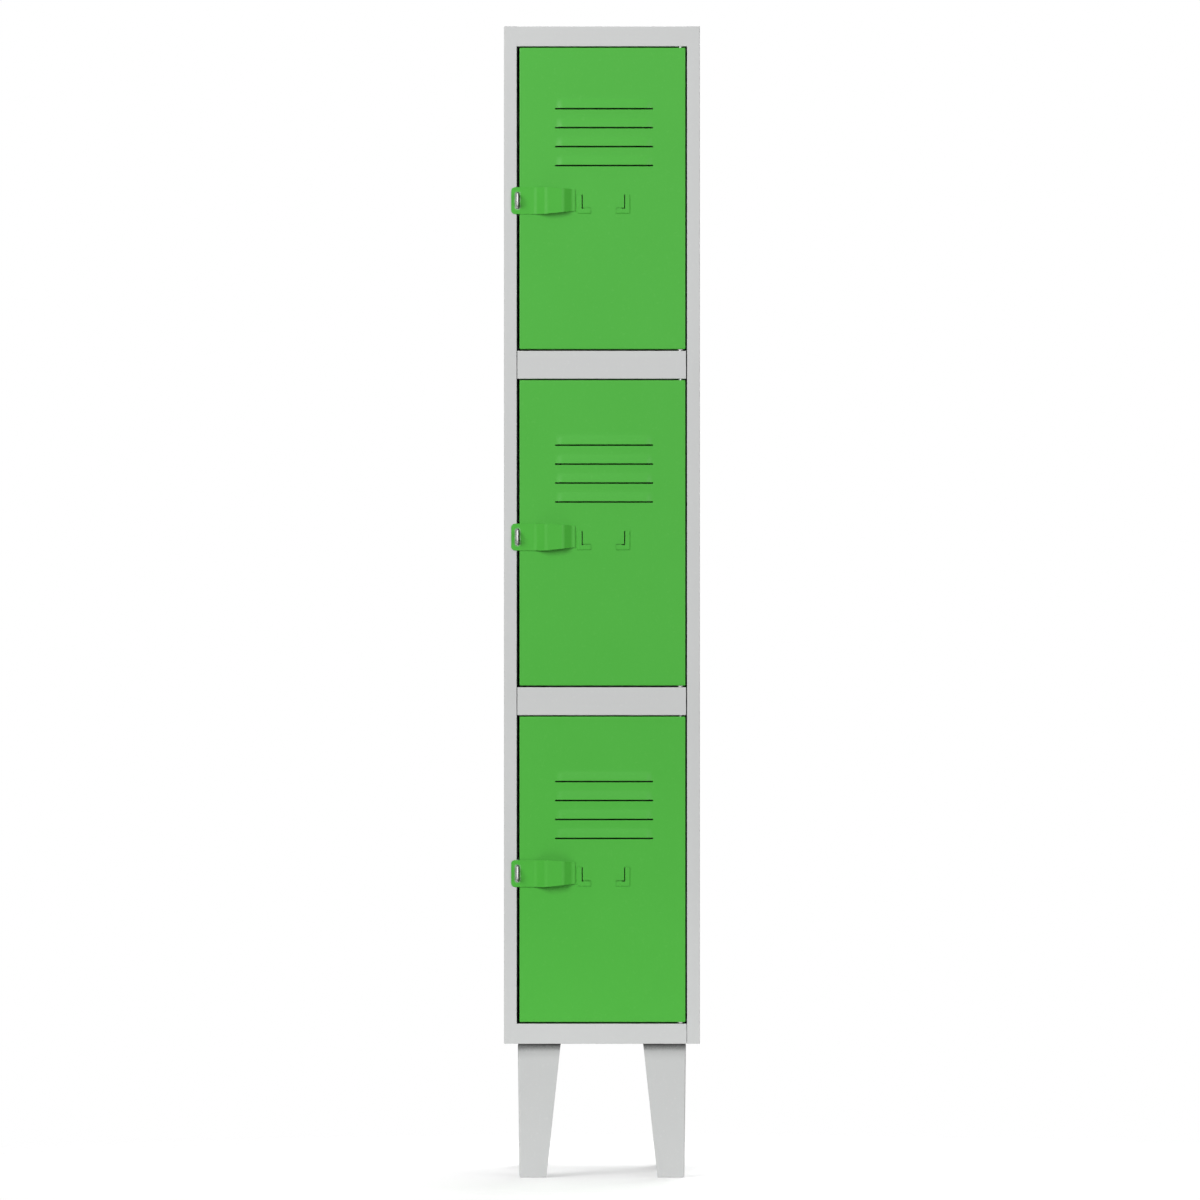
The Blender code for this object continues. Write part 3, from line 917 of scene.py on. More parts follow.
def turned(
    profile: Sequence[tuple], centre: Pair = ORIGIN, bored: bool = False, sides: int = 24
) -> bmesh.types.BMesh:
    """A shape turned about a vertical axis.

    Args:
        profile: (radius, height) from one end to the other, or (half of the flats, height, cap) for
            a hexagon whose corners are rounded off to the cap radius.
        centre: The axis.
        bored: Whether the profile closes on itself instead of being capped.
        sides: Points round each ring, a multiple of 12.

    Returns:
        The closed shape.
    """
    shape = bmesh.new()
    rings = []
    for radius, height, *cap in profile:
        ring = []
        for step in range(sides):
            angle = 2 * math.pi * step / sides
            reach = radius
            if cap:
                off_flat = math.radians((math.degrees(angle) + 0.001) % 60.0 - 30.0)
                reach = min(radius / math.cos(off_flat), cap[0])
            across, along = reach * math.cos(angle), reach * math.sin(angle)
            ring.append(shape.verts.new((centre[0] + across, centre[1] + along, height)))
        rings.append(ring)
    pairs = list(zip(rings, rings[1:]))
    if bored:
        pairs.append((rings[-1], rings[0]))
    else:
        shape.faces.new(rings[0])
        shape.faces.new(rings[-1])
    for low, high in pairs:
        for step in range(sides):
            after = (step + 1) % sides
            shape.faces.new((low[step], low[after], high[after], high[step]))
    bmesh.ops.recalc_face_normals(shape, faces=shape.faces)
    return shape


def drill(radius: float, place: Pair, low: float, high: float) -> bmesh.types.BMesh:
    """A cutter for a round upright hole."""
    return turned([(radius, low), (radius, high)], place)


def prism(outline: Sequence[Pair], axis: int, low: float, high: float) -> bmesh.types.BMesh:
    """A plate square to an axis.

    Args:
        outline: Points on the other two axes.
        axis: The axis.
        low: One face's place on it.
        high: The other face's place.

    Returns:
        The closed shape.
    """
    shape = bmesh.new()
    ends = []
    for level in (low, high):
        ring = []
        for pair in outline:
            place = list(pair)
            place.insert(axis, level)
            ring.append(shape.verts.new(place))
        ends.append(ring)
    shape.faces.new(ends[0])
    shape.faces.new(ends[1])
    for step in range(len(outline)):
        after = (step + 1) % len(outline)
        shape.faces.new((ends[0][step], ends[0][after], ends[1][after], ends[1][step]))
    bmesh.ops.recalc_face_normals(shape, faces=shape.faces)
    return shape


def pierced(
    shape: bmesh.types.BMesh, loops: Sequence[Sequence[bmesh.types.BMVert]], outward: Place
) -> None:
    """Fills the flat region between an outline and the holes in it.

    Args:
        shape: The shape that holds the points and gets the faces.
        loops: The outline's points and each hole's.
        outward: The way that the faces look.
    """
    edges = []
    for loop in loops:
        for step, point in enumerate(loop):
            after = loop[(step + 1) % len(loop)]
            edges.append(shape.edges.get((point, after)) or shape.edges.new((point, after)))
    filled = bmesh.ops.triangle_fill(shape, edges=edges, use_beauty=True, use_dissolve=False)
    for face in [f for f in filled["geom"] if isinstance(f, bmesh.types.BMFace)]:
        face.normal_update()
        if face.normal.dot(Vector(outward)) < 0:
            face.normal_flip()


# Geometry Nodes ---------------------------------------------------------------------------------


class Jig:
    """A Geometry Nodes tree built in code, which is run once for each mesh wanted of it."""

    def __init__(self, name: str, sockets: dict[str, str]) -> None:
        """Makes the tree's inputs.

        Args:
            name: The tree's name.
            sockets: Socket types by the names of the inputs.
        """
        self.tree = bpy.data.node_groups.new(name, "GeometryNodeTree")
        self.bench = Bench(self.tree)
        face = self.tree.interface
        face.new_socket("Geometry", in_out="OUTPUT", socket_type="NodeSocketGeometry")
        face.new_socket("Geometry", in_out="INPUT", socket_type="NodeSocketGeometry")
        self.keys = {}
        for label, kind in sockets.items():
            made = face.new_socket(label, in_out="INPUT", socket_type=f"NodeSocket{kind}")
            self.keys[label] = made.identifier
        self.entry = self.tree.nodes.new("NodeGroupInput")

    def given(self, label: str) -> Wire:
        """The wire from one of the tree's inputs."""
        return Wire(self.bench, self.entry.outputs[label])

    def end(self, geometry: Wire) -> None:
        """Realises the instances, sets the material and ends the tree.

        Args:
            geometry: What the tree has made.
        """
        real = self.bench.node("GeometryNodeRealizeInstances", None, {"Geometry": geometry})
        merge = {"Geometry": real, "Distance": MERGE_WITHIN}
        merged = self.bench.node("GeometryNodeMergeByDistance", None, merge)
        values = {"Geometry": merged, "Material": self.given("Finish")}
        finished = self.bench.node("GeometryNodeSetMaterial", None, values)
        exit_node = self.tree.nodes.new("NodeGroupOutput")
        self.tree.links.new(finished.socket, exit_node.inputs[0])

    def run(self, start: bpy.types.Mesh, **values: object) -> bpy.types.Mesh:
        """Evaluates the tree.

        Args:
            start: The mesh that goes in; it is removed.
            values: The inputs, by name.

        Returns:
            The plain mesh that comes out.
        """
        draft = placed("draft", start)
        modifier = draft.modifiers.new("jig", "NODES")
        modifier.node_group = self.tree
        for label, value in values.items():
            modifier[self.keys[label]] = value
        return evaluated(draft)


class Repeater(Jig):
    """Sets one part on every point, turned so that its Z axis follows the point's "facing"."""

    def __init__(self) -> None:
        """Builds the tree."""
        super().__init__("repeat_part", {"Part": "Object", "Finish": "Material"})
        bench = self.bench
        settings = {"data_type": "FLOAT_VECTOR"}
        facing = bench.node("GeometryNodeInputNamedAttribute", settings, {"Name": "facing"})
        turn = bench.node("FunctionNodeAlignRotationToVector", {"axis": "Z"}, {"Vector": facing})
        source = {"Object": self.given("Part")}
        part = bench.node("GeometryNodeObjectInfo", None, source, "Geometry")
        values = {"Points": self.given("Geometry"), "Instance": part, "Rotation": turn}
        self.end(bench.node("GeometryNodeInstanceOnPoints", None, values))

    def set_out(
        self,
        part: bmesh.types.BMesh,
        places: Sequence[Place],
        finish: bpy.types.Material,
        facings: Sequence[Place] = (),
    ) -> bpy.types.Mesh:
        """Repeats a part.

        Args:
            part: The part, drawn about the origin.
            places: Where each copy goes.
            finish: The material.
            facings: Which way each copy's Z axis looks; up where it is left out.

        Returns:
            One mesh that holds every copy.
        """
        points = bpy.data.meshes.new("points")
        points.from_pydata([tuple(place) for place in places], [], [])
        attribute = points.attributes.new("facing", "FLOAT_VECTOR", "POINT")
        for index, facing in enumerate(facings or [(0.0, 0.0, 1.0)] * len(places)):
            attribute.data[index].vector = facing
        holder = placed("part", mesh_of(part, "part"))
        result = self.run(points, Part=holder, Finish=finish)
        discard(holder)
        for attribute in [a for a in result.attributes if a.name == "facing"]:
            result.attributes.remove(attribute)
        return result


@dataclass
class Louvres:
    """The bank of pressed slits, one above the other, each under a raised hood."""

    count: int = 4
    length: float = 0.153
    shift: float = 0.0025
    pitch: float = 0.0296
    above_edge: float = 0.2857
    slit: float = 0.0024
    hood: float = 0.015
    rise: float = 0.0019
    run_out: float = 0.012
    hood_power: float = 1.5
    end_cells: int = 6
    middle_cells: int = 6
    hood_cells: int = 8
    plain_cells: int = 2
    jig: Jig = field(init=False)

    def __post_init__(self) -> None:
        """Builds the tree that presses the louvres."""
        sizes = ("Length", "Pitch", "Slit", "Hood", "Rise", "Run Out")
        sockets = {**dict.fromkeys(sizes, "Float"), "Count": "Int", "Finish": "Material"}
        self.jig = Jig("press_louvres", sockets)
        bench = self.jig.bench
        length, pitch, slit, hood, rise, run_out = (self.jig.given(label) for label in sizes)
        across = 2 * self.end_cells + self.middle_cells
        up = 1 + self.hood_cells + self.plain_cells
        spread = {"Vertices X": across + 1, "Vertices Y": up + 1}
        sheet = bench.node("GeometryNodeMeshGrid", None, {"Size X": 1.0, "Size Y": 1.0, **spread})
        place = bench.node("GeometryNodeInputPosition")
        column = (bench.part(place, "X") + 0.5) * across
        row = (bench.part(place, "Y") + 0.5) * up
        middle = length - 2.0 * run_out
        x = run_out * (column / self.end_cells).clamped() - length / 2.0
        x = x + middle * ((column - self.end_cells) / self.middle_cells).clamped()
        last = self.end_cells + self.middle_cells
        x = x + run_out * ((column - last) / self.end_cells).clamped()
        along_hood = ((row - 1.0) / self.hood_cells).clamped()
        plain = ((row - (1.0 + self.hood_cells)) / self.plain_cells).clamped()
        z = slit * row.clamped() + hood * along_hood + (pitch - slit - hood) * plain
        from_end = ((length / 2.0 - abs(x)) / run_out).eased()
        above_slit = row.maths("GREATER_THAN", row, 0.5)
        lift = rise * (1.0 - along_hood**self.hood_power) * from_end * above_slit
        pressed = bench.node("ShaderNodeCombineXYZ", None, {"X": x, "Y": lift * -1.0, "Z": z})
        in_slit = row.maths("LESS_THAN", row, 1.0)
        doomed = {"Geometry": sheet, "Selection": in_slit}
        opened = bench.node("GeometryNodeDeleteGeometry", {"domain": "FACE"}, doomed)
        moved = {"Geometry": opened, "Position": pressed}
        shaped = bench.node("GeometryNodeSetPosition", None, moved)
        step = bench.node("ShaderNodeCombineXYZ", None, {"Z": pitch})
        line = {"Count": self.jig.given("Count"), "Offset": step}
        stack = bench.node("GeometryNodeMeshLine", None, line)
        values = {"Points": stack, "Instance": shaped}
        self.jig.end(bench.node("GeometryNodeInstanceOnPoints", None, values))

    def columns(self, centre: float) -> list[float]:
        """Spaces the bank's grid lines out across the door.

        Args:
            centre: The bank's middle.

        Returns:
            The lines, from left to right.
        """
        middle = self.length - 2 * self.run_out
        end = (self.end_cells, self.run_out)
        return lines_of(centre - self.length / 2, [end, (self.middle_cells, middle), end])

    def foot(self, door_bottom: float) -> float:
        """Height of the lowest slit's lower edge."""
        return door_bottom + self.above_edge

    def rows(self, door_bottom: float) -> list[float]:
        """Spaces the bank's grid lines out up the door.

        Args:
            door_bottom: Height of the door's lower edge.

        Returns:
            The lines, from the lowest up.
        """
        plain = self.pitch - self.slit - self.hood
        runs = [(1, self.slit), (self.hood_cells, self.hood), (self.plain_cells, plain)]
        return lines_of(self.foot(door_bottom), runs * self.count)

    def bank(
        self, centre: float, front: float, door_bottom: float, finish: bpy.types.Material
    ) -> bpy.types.Mesh:
        """Presses the patch of a door's face that holds the louvres.

        Args:
            centre: The patch's middle across the door.
            front: The face's place along Y.
            door_bottom: Height of the door's lower edge.
            finish: The material.

        Returns:
            The patch, in its place.
        """
        sizes = {"Length": self.length, "Pitch": self.pitch, "Slit": self.slit, "Hood": self.hood}
        sizes |= {"Rise": self.rise, "Run Out": self.run_out, "Count": self.count, "Finish": finish}
        patch = self.jig.run(bpy.data.meshes.new("start"), **sizes)
        for vertex in patch.vertices:
            vertex.co += Vector((centre, front, self.foot(door_bottom)))
        return patch


# The locker's own places ------------------------------------------------------------------------


@dataclass
class Layout:
    """Places shared by the sub-assemblies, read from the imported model."""

    fit: float = 0.0003
    sheet: float = 0.001
    post_width: float = 0.020
    post_return: float = 0.020

    def __post_init__(self) -> None:
        """Reads the overall places."""
        low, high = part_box("side_panel_left")
        self.front, self.rear = low.y, high.y
        self.foot, self.height = low.z, high.z
        self.half_width = -low.x
        self.half_opening = self.half_width - self.post_width
        self.half_inside = self.half_width - self.sheet - self.fit
        self.behind_post = self.front + self.post_return + self.fit
        self.back_outer = self.rear - self.sheet - self.fit
        self.shelf_rear = self.back_outer - self.sheet - self.fit
        decks = {
            Tier.BOTTOM: "base_panel",
            Tier.MIDDLE: "shelf_below_middle",
            Tier.TOP: "shelf_below_top",
        }
        self.decks = {tier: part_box(name) for tier, name in decks.items()}
        self.doors = {tier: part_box(f"door_{tier.value}") for tier in Tier}
        door_low, door_high = self.doors[Tier.BOTTOM]
        self.door_left, self.door_right = door_low.x, door_high.x
        self.door_centre = (self.door_left + self.door_right) / 2
        pin_low, pin_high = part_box("hinge_pin_lower_bottom")
        self.pivot = ((pin_low.x + pin_high.x) / 2, (pin_low.y + pin_high.y) / 2)


@dataclass
class Carcass:
    """Side walls with their posts, back, lid, shelves and base."""

    layout: Layout
    paints: Paints
    repeater: Repeater
    fold: float = 0.0014
    rear_flange: float = 0.018
    top_rail: float = 0.0315
    rail_return: float = 0.018
    skirt: float = 0.015
    base_flange: float = 0.055
    painted_seam: float = 0.00003
    left_seam: float = 0.0008
    right_seam: float = 0.0017
    pin_hole: float = 0.00255
    bolt_hole: float = 0.0046
    cutter_past: float = 0.006
    weld_radius: float = 0.0032
    weld_profile: tuple[Pair, ...] = (
        (0.9, -0.0003),
        (1.0, 0.0),
        (0.82, 0.00010),
        (0.66, 0.00012),
        (0.52, 0.00003),
        (0.1, 0.00002),
    )
    weld_sharp_from: float = 75.0
    weld_pitch: float = 0.105
    weld_margin: float = 0.03
    side_welds: int = 4
    first_side_weld: float = 0.055
    side_weld_pitch: float = 0.13

    def piece(self, name: str, mesh: bpy.types.Mesh, *stands_for: str) -> None:
        """Publishes one piece of the carcass."""
        publish(name, mesh, self.paints.carcass, CARCASS_BODY, stands_for)

    def wall(self, side: Side) -> None:
        """Builds a side wall, folded round into its post and its rear flange.

        The post's inner return stops at the top rail and at the sill, where nothing shows it.

        Args:
            side: Which wall.
        """
        at, sign = self.layout, side.value
        outer, opening = sign * at.half_width, sign * at.half_opening
        sill = at.decks[Tier.BOTTOM][1].z
        under_lid = at.height - at.sheet - at.fit
        heights = [at.foot, sill, at.height - self.top_rail, under_lid, at.height]
        sheet = FoldedSheet()
        sheet.grid(X, opening, [at.front, at.front + at.post_return], heights[1:3], -sign)
        sheet.grid(Y, at.front, [opening, outer], heights, -1)
        sheet.grid(X, outer, [at.front, at.rear], heights, sign)
        sheet.grid(Y, at.rear, [outer - sign * self.rear_flange, outer], heights, 1)
        mesh = shaded(sheet.solid(at.sheet, self.fold))
        self.piece(f"{side.label}_wall", mesh, f"side_panel_{side.label}")

    def back(self) -> None:
        """Builds the flat back."""
        at = self.layout
        sheet = FoldedSheet()
        top = at.height - at.sheet - at.fit
        sheet.grid(Y, at.back_outer, [-at.half_inside, at.half_inside], [at.foot, top], 1)
        mesh = shaded(sheet.solid(at.sheet, self.fold))
        self.piece("rear_wall", mesh, "back_panel")

    def across(
        self, left_seam: float, right_seam: float, inner: Sequence[float] = ()
    ) -> list[float]:
        """Spaces grid lines out across a deck.

        Args:
            left_seam: Gap between the left post and the rail.
            right_seam: Gap at the rail's other end.
            inner: Folds between the rail's ends.

        Returns:
            The deck's sides, the rail's ends and the folds.
        """
        at = self.layout
        ends = (-at.half_opening + left_seam, at.half_opening - right_seam)
        return [-at.half_inside, ends[0], *inner, ends[1], at.half_inside]

    def decked(
        self, top: float, rail: float, widens_at: float, rear: float, lines: Sequence[float]
    ) -> FoldedSheet:
        """Starts a deck with its front rail and the flange folded back under it.

        Args:
            top: Height of the deck.
            rail: Height of the rail below it.
            widens_at: Where the deck widens from between the posts to the walls, along Y.
            rear: The deck's rear edge, along Y.
            lines: Grid lines across it.

        Returns:
            The sheet, so far.
        """
        at = self.layout
        sheet = FoldedSheet()
        last = len(lines) - 2

        def beside_rail(i: int, j: int) -> bool:
            """Whether a cell lies where a post stands."""
            return j == 0 and i in (0, last)

        sheet.grid(Z, top, lines, [at.front, widens_at, rear], 1, beside_rail)
        sheet.grid(Y, at.front, lines[1:-1], [top - rail, top], -1)
        sheet.grid(Z, top - rail, lines[1:-1], [at.front, at.front + self.rail_return], -1)
        return sheet

    def skirts(self, sheet: FoldedSheet, top: float, depth: float, lines: Sequence[float]) -> None:
        """Adds the flanges folded down along both sides and the rear.

        Args:
            sheet: The deck.
            top: Its height.
            depth: How far down the flanges reach.
            lines: Grid lines across it.
        """
        at = self.layout
        heights = [top - depth, top]
        for side in (-1, 1):
            depths = [at.behind_post, at.shelf_rear]
            sheet.grid(X, side * at.half_inside, depths, heights, side)
        sheet.grid(Y, at.shelf_rear, lines, heights, 1)

    def pin_cutter(self, low: float, high: float) -> bmesh.types.BMesh:
        """A drill along the doors' pivot line."""
        return drill(self.pin_hole, self.layout.pivot, low, high)

    def lid(self) -> None:
        """Builds the top."""
        at = self.layout
        lines = self.across(self.painted_seam, self.painted_seam)
        widens_at = at.front + at.sheet + at.fit
        sheet = self.decked(at.height, self.top_rail, widens_at, at.back_outer, lines)
        under = at.height - self.top_rail
        cutter = self.pin_cutter(under - self.cutter_past, under + self.cutter_past)
        mesh = shaded(cut(sheet.solid(at.sheet, self.fold), [cutter]))
        self.piece("lid", mesh, "top_panel")

    def shelf(self, tier: Tier) -> None:
        """Builds a shelf, whose front edge is the rail between two doors.

        Args:
            tier: The tier that stands on it.
        """
        at = self.layout
        low, high = at.decks[tier]
        rail = high.z - low.z
        lines = self.across(self.left_seam, self.right_seam)
        sheet = self.decked(high.z, rail, at.behind_post, at.shelf_rear, lines)
        self.skirts(sheet, high.z, self.skirt, lines)
        cutter = self.pin_cutter(low.z - self.cutter_past, high.z + self.cutter_past)
        mesh = shaded(cut(sheet.solid(at.sheet, self.fold), [cutter]))
        self.piece(f"shelf_{tier.value}", mesh, f"shelf_below_{tier.value}")

    def base(self, bolt_places: Iterable[Pair]) -> None:
        """Builds the lowest deck, whose deep skirts turn in to carry the legs.

        Args:
            bolt_places: Where the legs' bolts pass.
        """
        at = self.layout
        low, high = at.decks[Tier.BOTTOM]
        fold = at.half_inside - self.base_flange
        lines = self.across(self.painted_seam, self.left_seam, (-fold, fold))
        sheet = self.decked(high.z, high.z - low.z, at.behind_post, at.shelf_rear, lines)
        self.skirts(sheet, high.z, high.z - low.z, lines)
        for strip in (lines[:3], lines[-3:]):
            sheet.grid(Z, low.z, strip, [at.behind_post, at.shelf_rear], -1)
        cutters = [self.pin_cutter(high.z - self.cutter_past, high.z + self.cutter_past)]
        ends = (low.z - self.cutter_past, low.z + self.cutter_past)
        cutters += [drill(self.bolt_hole, place, *ends) for place in bolt_places]
        mesh = shaded(cut(sheet.solid(at.sheet, self.fold), cutters))
        self.piece("base_deck", mesh, "base_panel")

    def weld_mark(self) -> bmesh.types.BMesh:
        """Draws a shallow spot-weld print: a flat button with a raised rim, closed below.

        Returns:
            The print, about the origin.
        """
        profile = [(share * self.weld_radius, height) for share, height in self.weld_profile]
        return turned(profile, sides=12)

    def welds(self) -> None:
        """Sets spot-weld prints down the rear flanges and along the shelves' and base's sides."""
        at = self.layout
        places, facings = [], []
        for side in (-1, 1):
            x = side * (at.half_width - self.rear_flange / 2)
            count = int((at.height - at.foot - 2 * self.weld_margin) / self.weld_pitch)
            for n in range(count + 1):
                places.append((x, at.rear, at.foot + self.weld_margin + n * self.weld_pitch))
                facings.append((0.0, 1.0, 0.0))
            levels = [at.decks[tier][1].z - self.skirt / 2 for tier in Tier]
            for level in levels:
                for n in range(self.side_welds):
                    y = at.front + self.first_side_weld + n * self.side_weld_pitch
                    places.append((side * at.half_width, y, level))
                    facings.append((float(side), 0.0, 0.0))
        mark, finish = self.weld_mark(), self.paints.carcass
        mesh = self.repeater.set_out(mark, places, finish, facings)
        mesh = shaded(mesh, self.weld_sharp_from)
        self.piece("spot_welds", mesh)

    def build(self, bolt_places: Iterable[Pair]) -> None:
        """Builds every piece of the carcass.

        Args:
            bolt_places: Where the legs' bolts pass.
        """
        for side in Side:
            self.wall(side)
        self.back()
        self.lid()
        for tier in (Tier.MIDDLE, Tier.TOP):
            self.shelf(tier)
        self.base(bolt_places)
        self.welds()


@dataclass
class Legs:
    """Four tapered legs folded from thick sheet, with their bolts and nuts."""

    layout: Layout
    paints: Paints
    repeater: Repeater
    sheet: float = 0.002
    fold: float = 0.003
    top_width: float = 0.067
    foot_width: float = 0.042
    lean: float = 0.0025
    side_inset: float = 0.0215
    face_inset: float = 0.0215
    bolt_radius: float = 0.004
    bolt_hole: float = 0.0046
    flats: float = 0.013
    head: float = 0.0053
    nut: float = 0.0065
    past_nut: float = 0.003
    from_corner: float = 0.020
    spacing: float = 0.030
    thread: float = 0.00125
    turns: int = 3
    edge_round: float = 0.0003
    edge_angle: float = 1.2
    chamfer: float = 0.0006
    bore_chamfer: float = 0.0005
    mouth_share: float = 1.12
    cap_share: float = 1.10
    root_share: float = 0.86
    tip_share: float = 0.72
    sharp_from: float = 30.0

    def corner(self, side: int, end: int) -> Pair:
        """Finds where a leg's fold meets the carcass.

        Args:
            side: -1 or 1 along X.
            end: -1 or 1 along Y.

        Returns:
            The place, in plan.
        """
        at = self.layout
        edge = at.front if end < 0 else at.rear
        return side * (at.half_width - self.side_inset), edge - end * self.face_inset

    def bolts_of(self, side: int, end: int) -> list[Pair]:
        """Finds one leg's two bolts.

        Args:
            side: -1 or 1 along X.
            end: -1 or 1 along Y.

        Returns:
            Their places, in plan.
        """
        x, y = self.corner(side, end)
        reach = [self.from_corner, self.from_corner + self.spacing]
        return [(x - side * self.from_corner, y - end * along) for along in reach]

    def every_bolt(self) -> list[Pair]:
        """Places of all the bolts."""
        return [place for end in (-1, 1) for side in (-1, 1) for place in self.bolts_of(side, end)]

    def leg(self, name: str, side: int, end: int) -> None:
        """Builds one leg: two tapered faces, a flange on top and a foot below.

        Args:
            name: The leg's name.
            side: -1 or 1 along X.
            end: -1 or 1 along Y.
        """
        at = self.layout
        x_top, y_face = self.corner(side, end)
        top = at.foot - at.fit
        corners = {}
        rows = (
            (1, x_top, self.top_width, top),
            (0, x_top - side * self.lean, self.foot_width, 0.0),
        )
        for upper, x_fold, width, z in rows:
            for a in (0, 1):
                for b in (0, 1):
                    corners[upper, a, b] = (x_fold - side * width * a, y_face - end * width * b, z)
        faces = (
            (((1, 0, 0), (1, 1, 0), (0, 1, 0), (0, 0, 0)), (0, end, 0)),
            (((1, 0, 0), (1, 0, 1), (0, 0, 1), (0, 0, 0)), (side, 0, 0)),
            (((1, 0, 0), (1, 1, 0), (1, 1, 1), (1, 0, 1)), (0, 0, 1)),
            (((0, 0, 0), (0, 1, 0), (0, 1, 1), (0, 0, 1)), (0, 0, -1)),
        )
        sheet = FoldedSheet()
        for keys, outward in faces:
            sheet.face([corners[key] for key in keys], outward)
        ends = (top - self.sheet - DRILL_PAST, top + DRILL_PAST)
        cutters = [drill(self.bolt_hole, place, *ends) for place in self.bolts_of(side, end)]
        mesh = cut(sheet.solid(self.sheet, self.fold, 4), cutters)
        mesh = shaded(blunted(mesh, self.edge_round, 1, self.edge_angle))
        publish(f"leg_of_{name}", mesh, self.paints.leg, CARCASS_BODY, [f"leg_{name}"])

    def bolt_shape(self) -> bmesh.types.BMesh:
        """Draws a hexagon bolt about the origin.

        Returns:
            The bolt, its head below 0 and its thread above.
        """
        at, flats, r = self.layout, self.flats / 2, self.bolt_radius
        cap = flats * self.cap_share
        seat_to_nut = at.fit + self.sheet + at.fit + at.sheet + at.fit
        tip = seat_to_nut + self.nut + self.past_nut
        profile = [(flats * 0.94, -self.head), (flats, -self.head + self.chamfer, cap)]
        profile += [(flats, -0.0002, cap), (flats * 0.96, 0.0), (r, 0.0)]
        profile.append((r, tip - self.turns * self.thread))
        for turn in range(self.turns):
            z = tip - (self.turns - turn) * self.thread
            profile += [(r * self.root_share, z + self.thread * 0.45), (r, z + self.thread * 0.9)]
        profile.append((r * self.tip_share, tip))
        return turned(profile)

    def nut_shape(self) -> bmesh.types.BMesh:
        """Draws a hexagon nut about the origin.

        Returns:
            The nut, standing on 0.
        """
        flats, bore = self.flats / 2, self.bolt_radius + self.layout.fit
        low, high, cap = self.chamfer, self.nut - self.chamfer, flats * self.cap_share
        mouth, edge = bore * self.mouth_share, self.bore_chamfer
        profile = [(bore, edge), (mouth, 0.0), (flats * 0.97, 0.0), (flats, low, cap)]
        profile += [(flats, high, cap), (flats * 0.95, self.nut)]
        profile += [(mouth, self.nut), (bore, self.nut - edge)]
        return turned(profile, bored=True)

    def build(self) -> None:
        """Builds the legs and their fixings."""
        at = self.layout
        names = []
        for end, end_name in ((-1, "front"), (1, "rear")):
            for side in Side:
                name = f"{end_name}_{side.label}"
                self.leg(name, side.value, end)
                names += [f"leg_{name}_{n}" for n in (1, 2)]
        seat = at.foot - at.fit - self.sheet - at.fit
        for label, shape, level in (
            ("bolt", self.bolt_shape(), seat),
            ("nut", self.nut_shape(), at.foot + at.sheet + at.fit),
        ):
            places = [(*place, level) for place in self.every_bolt()]
            mesh = self.repeater.set_out(shape, places, self.paints.zinc)
            mesh = shaded(mesh, self.sharp_from)
            nodes = [f"{name}_{label}" for name in names]
            publish(f"leg_{label}s", mesh, self.paints.zinc, CARCASS_BODY, nodes)


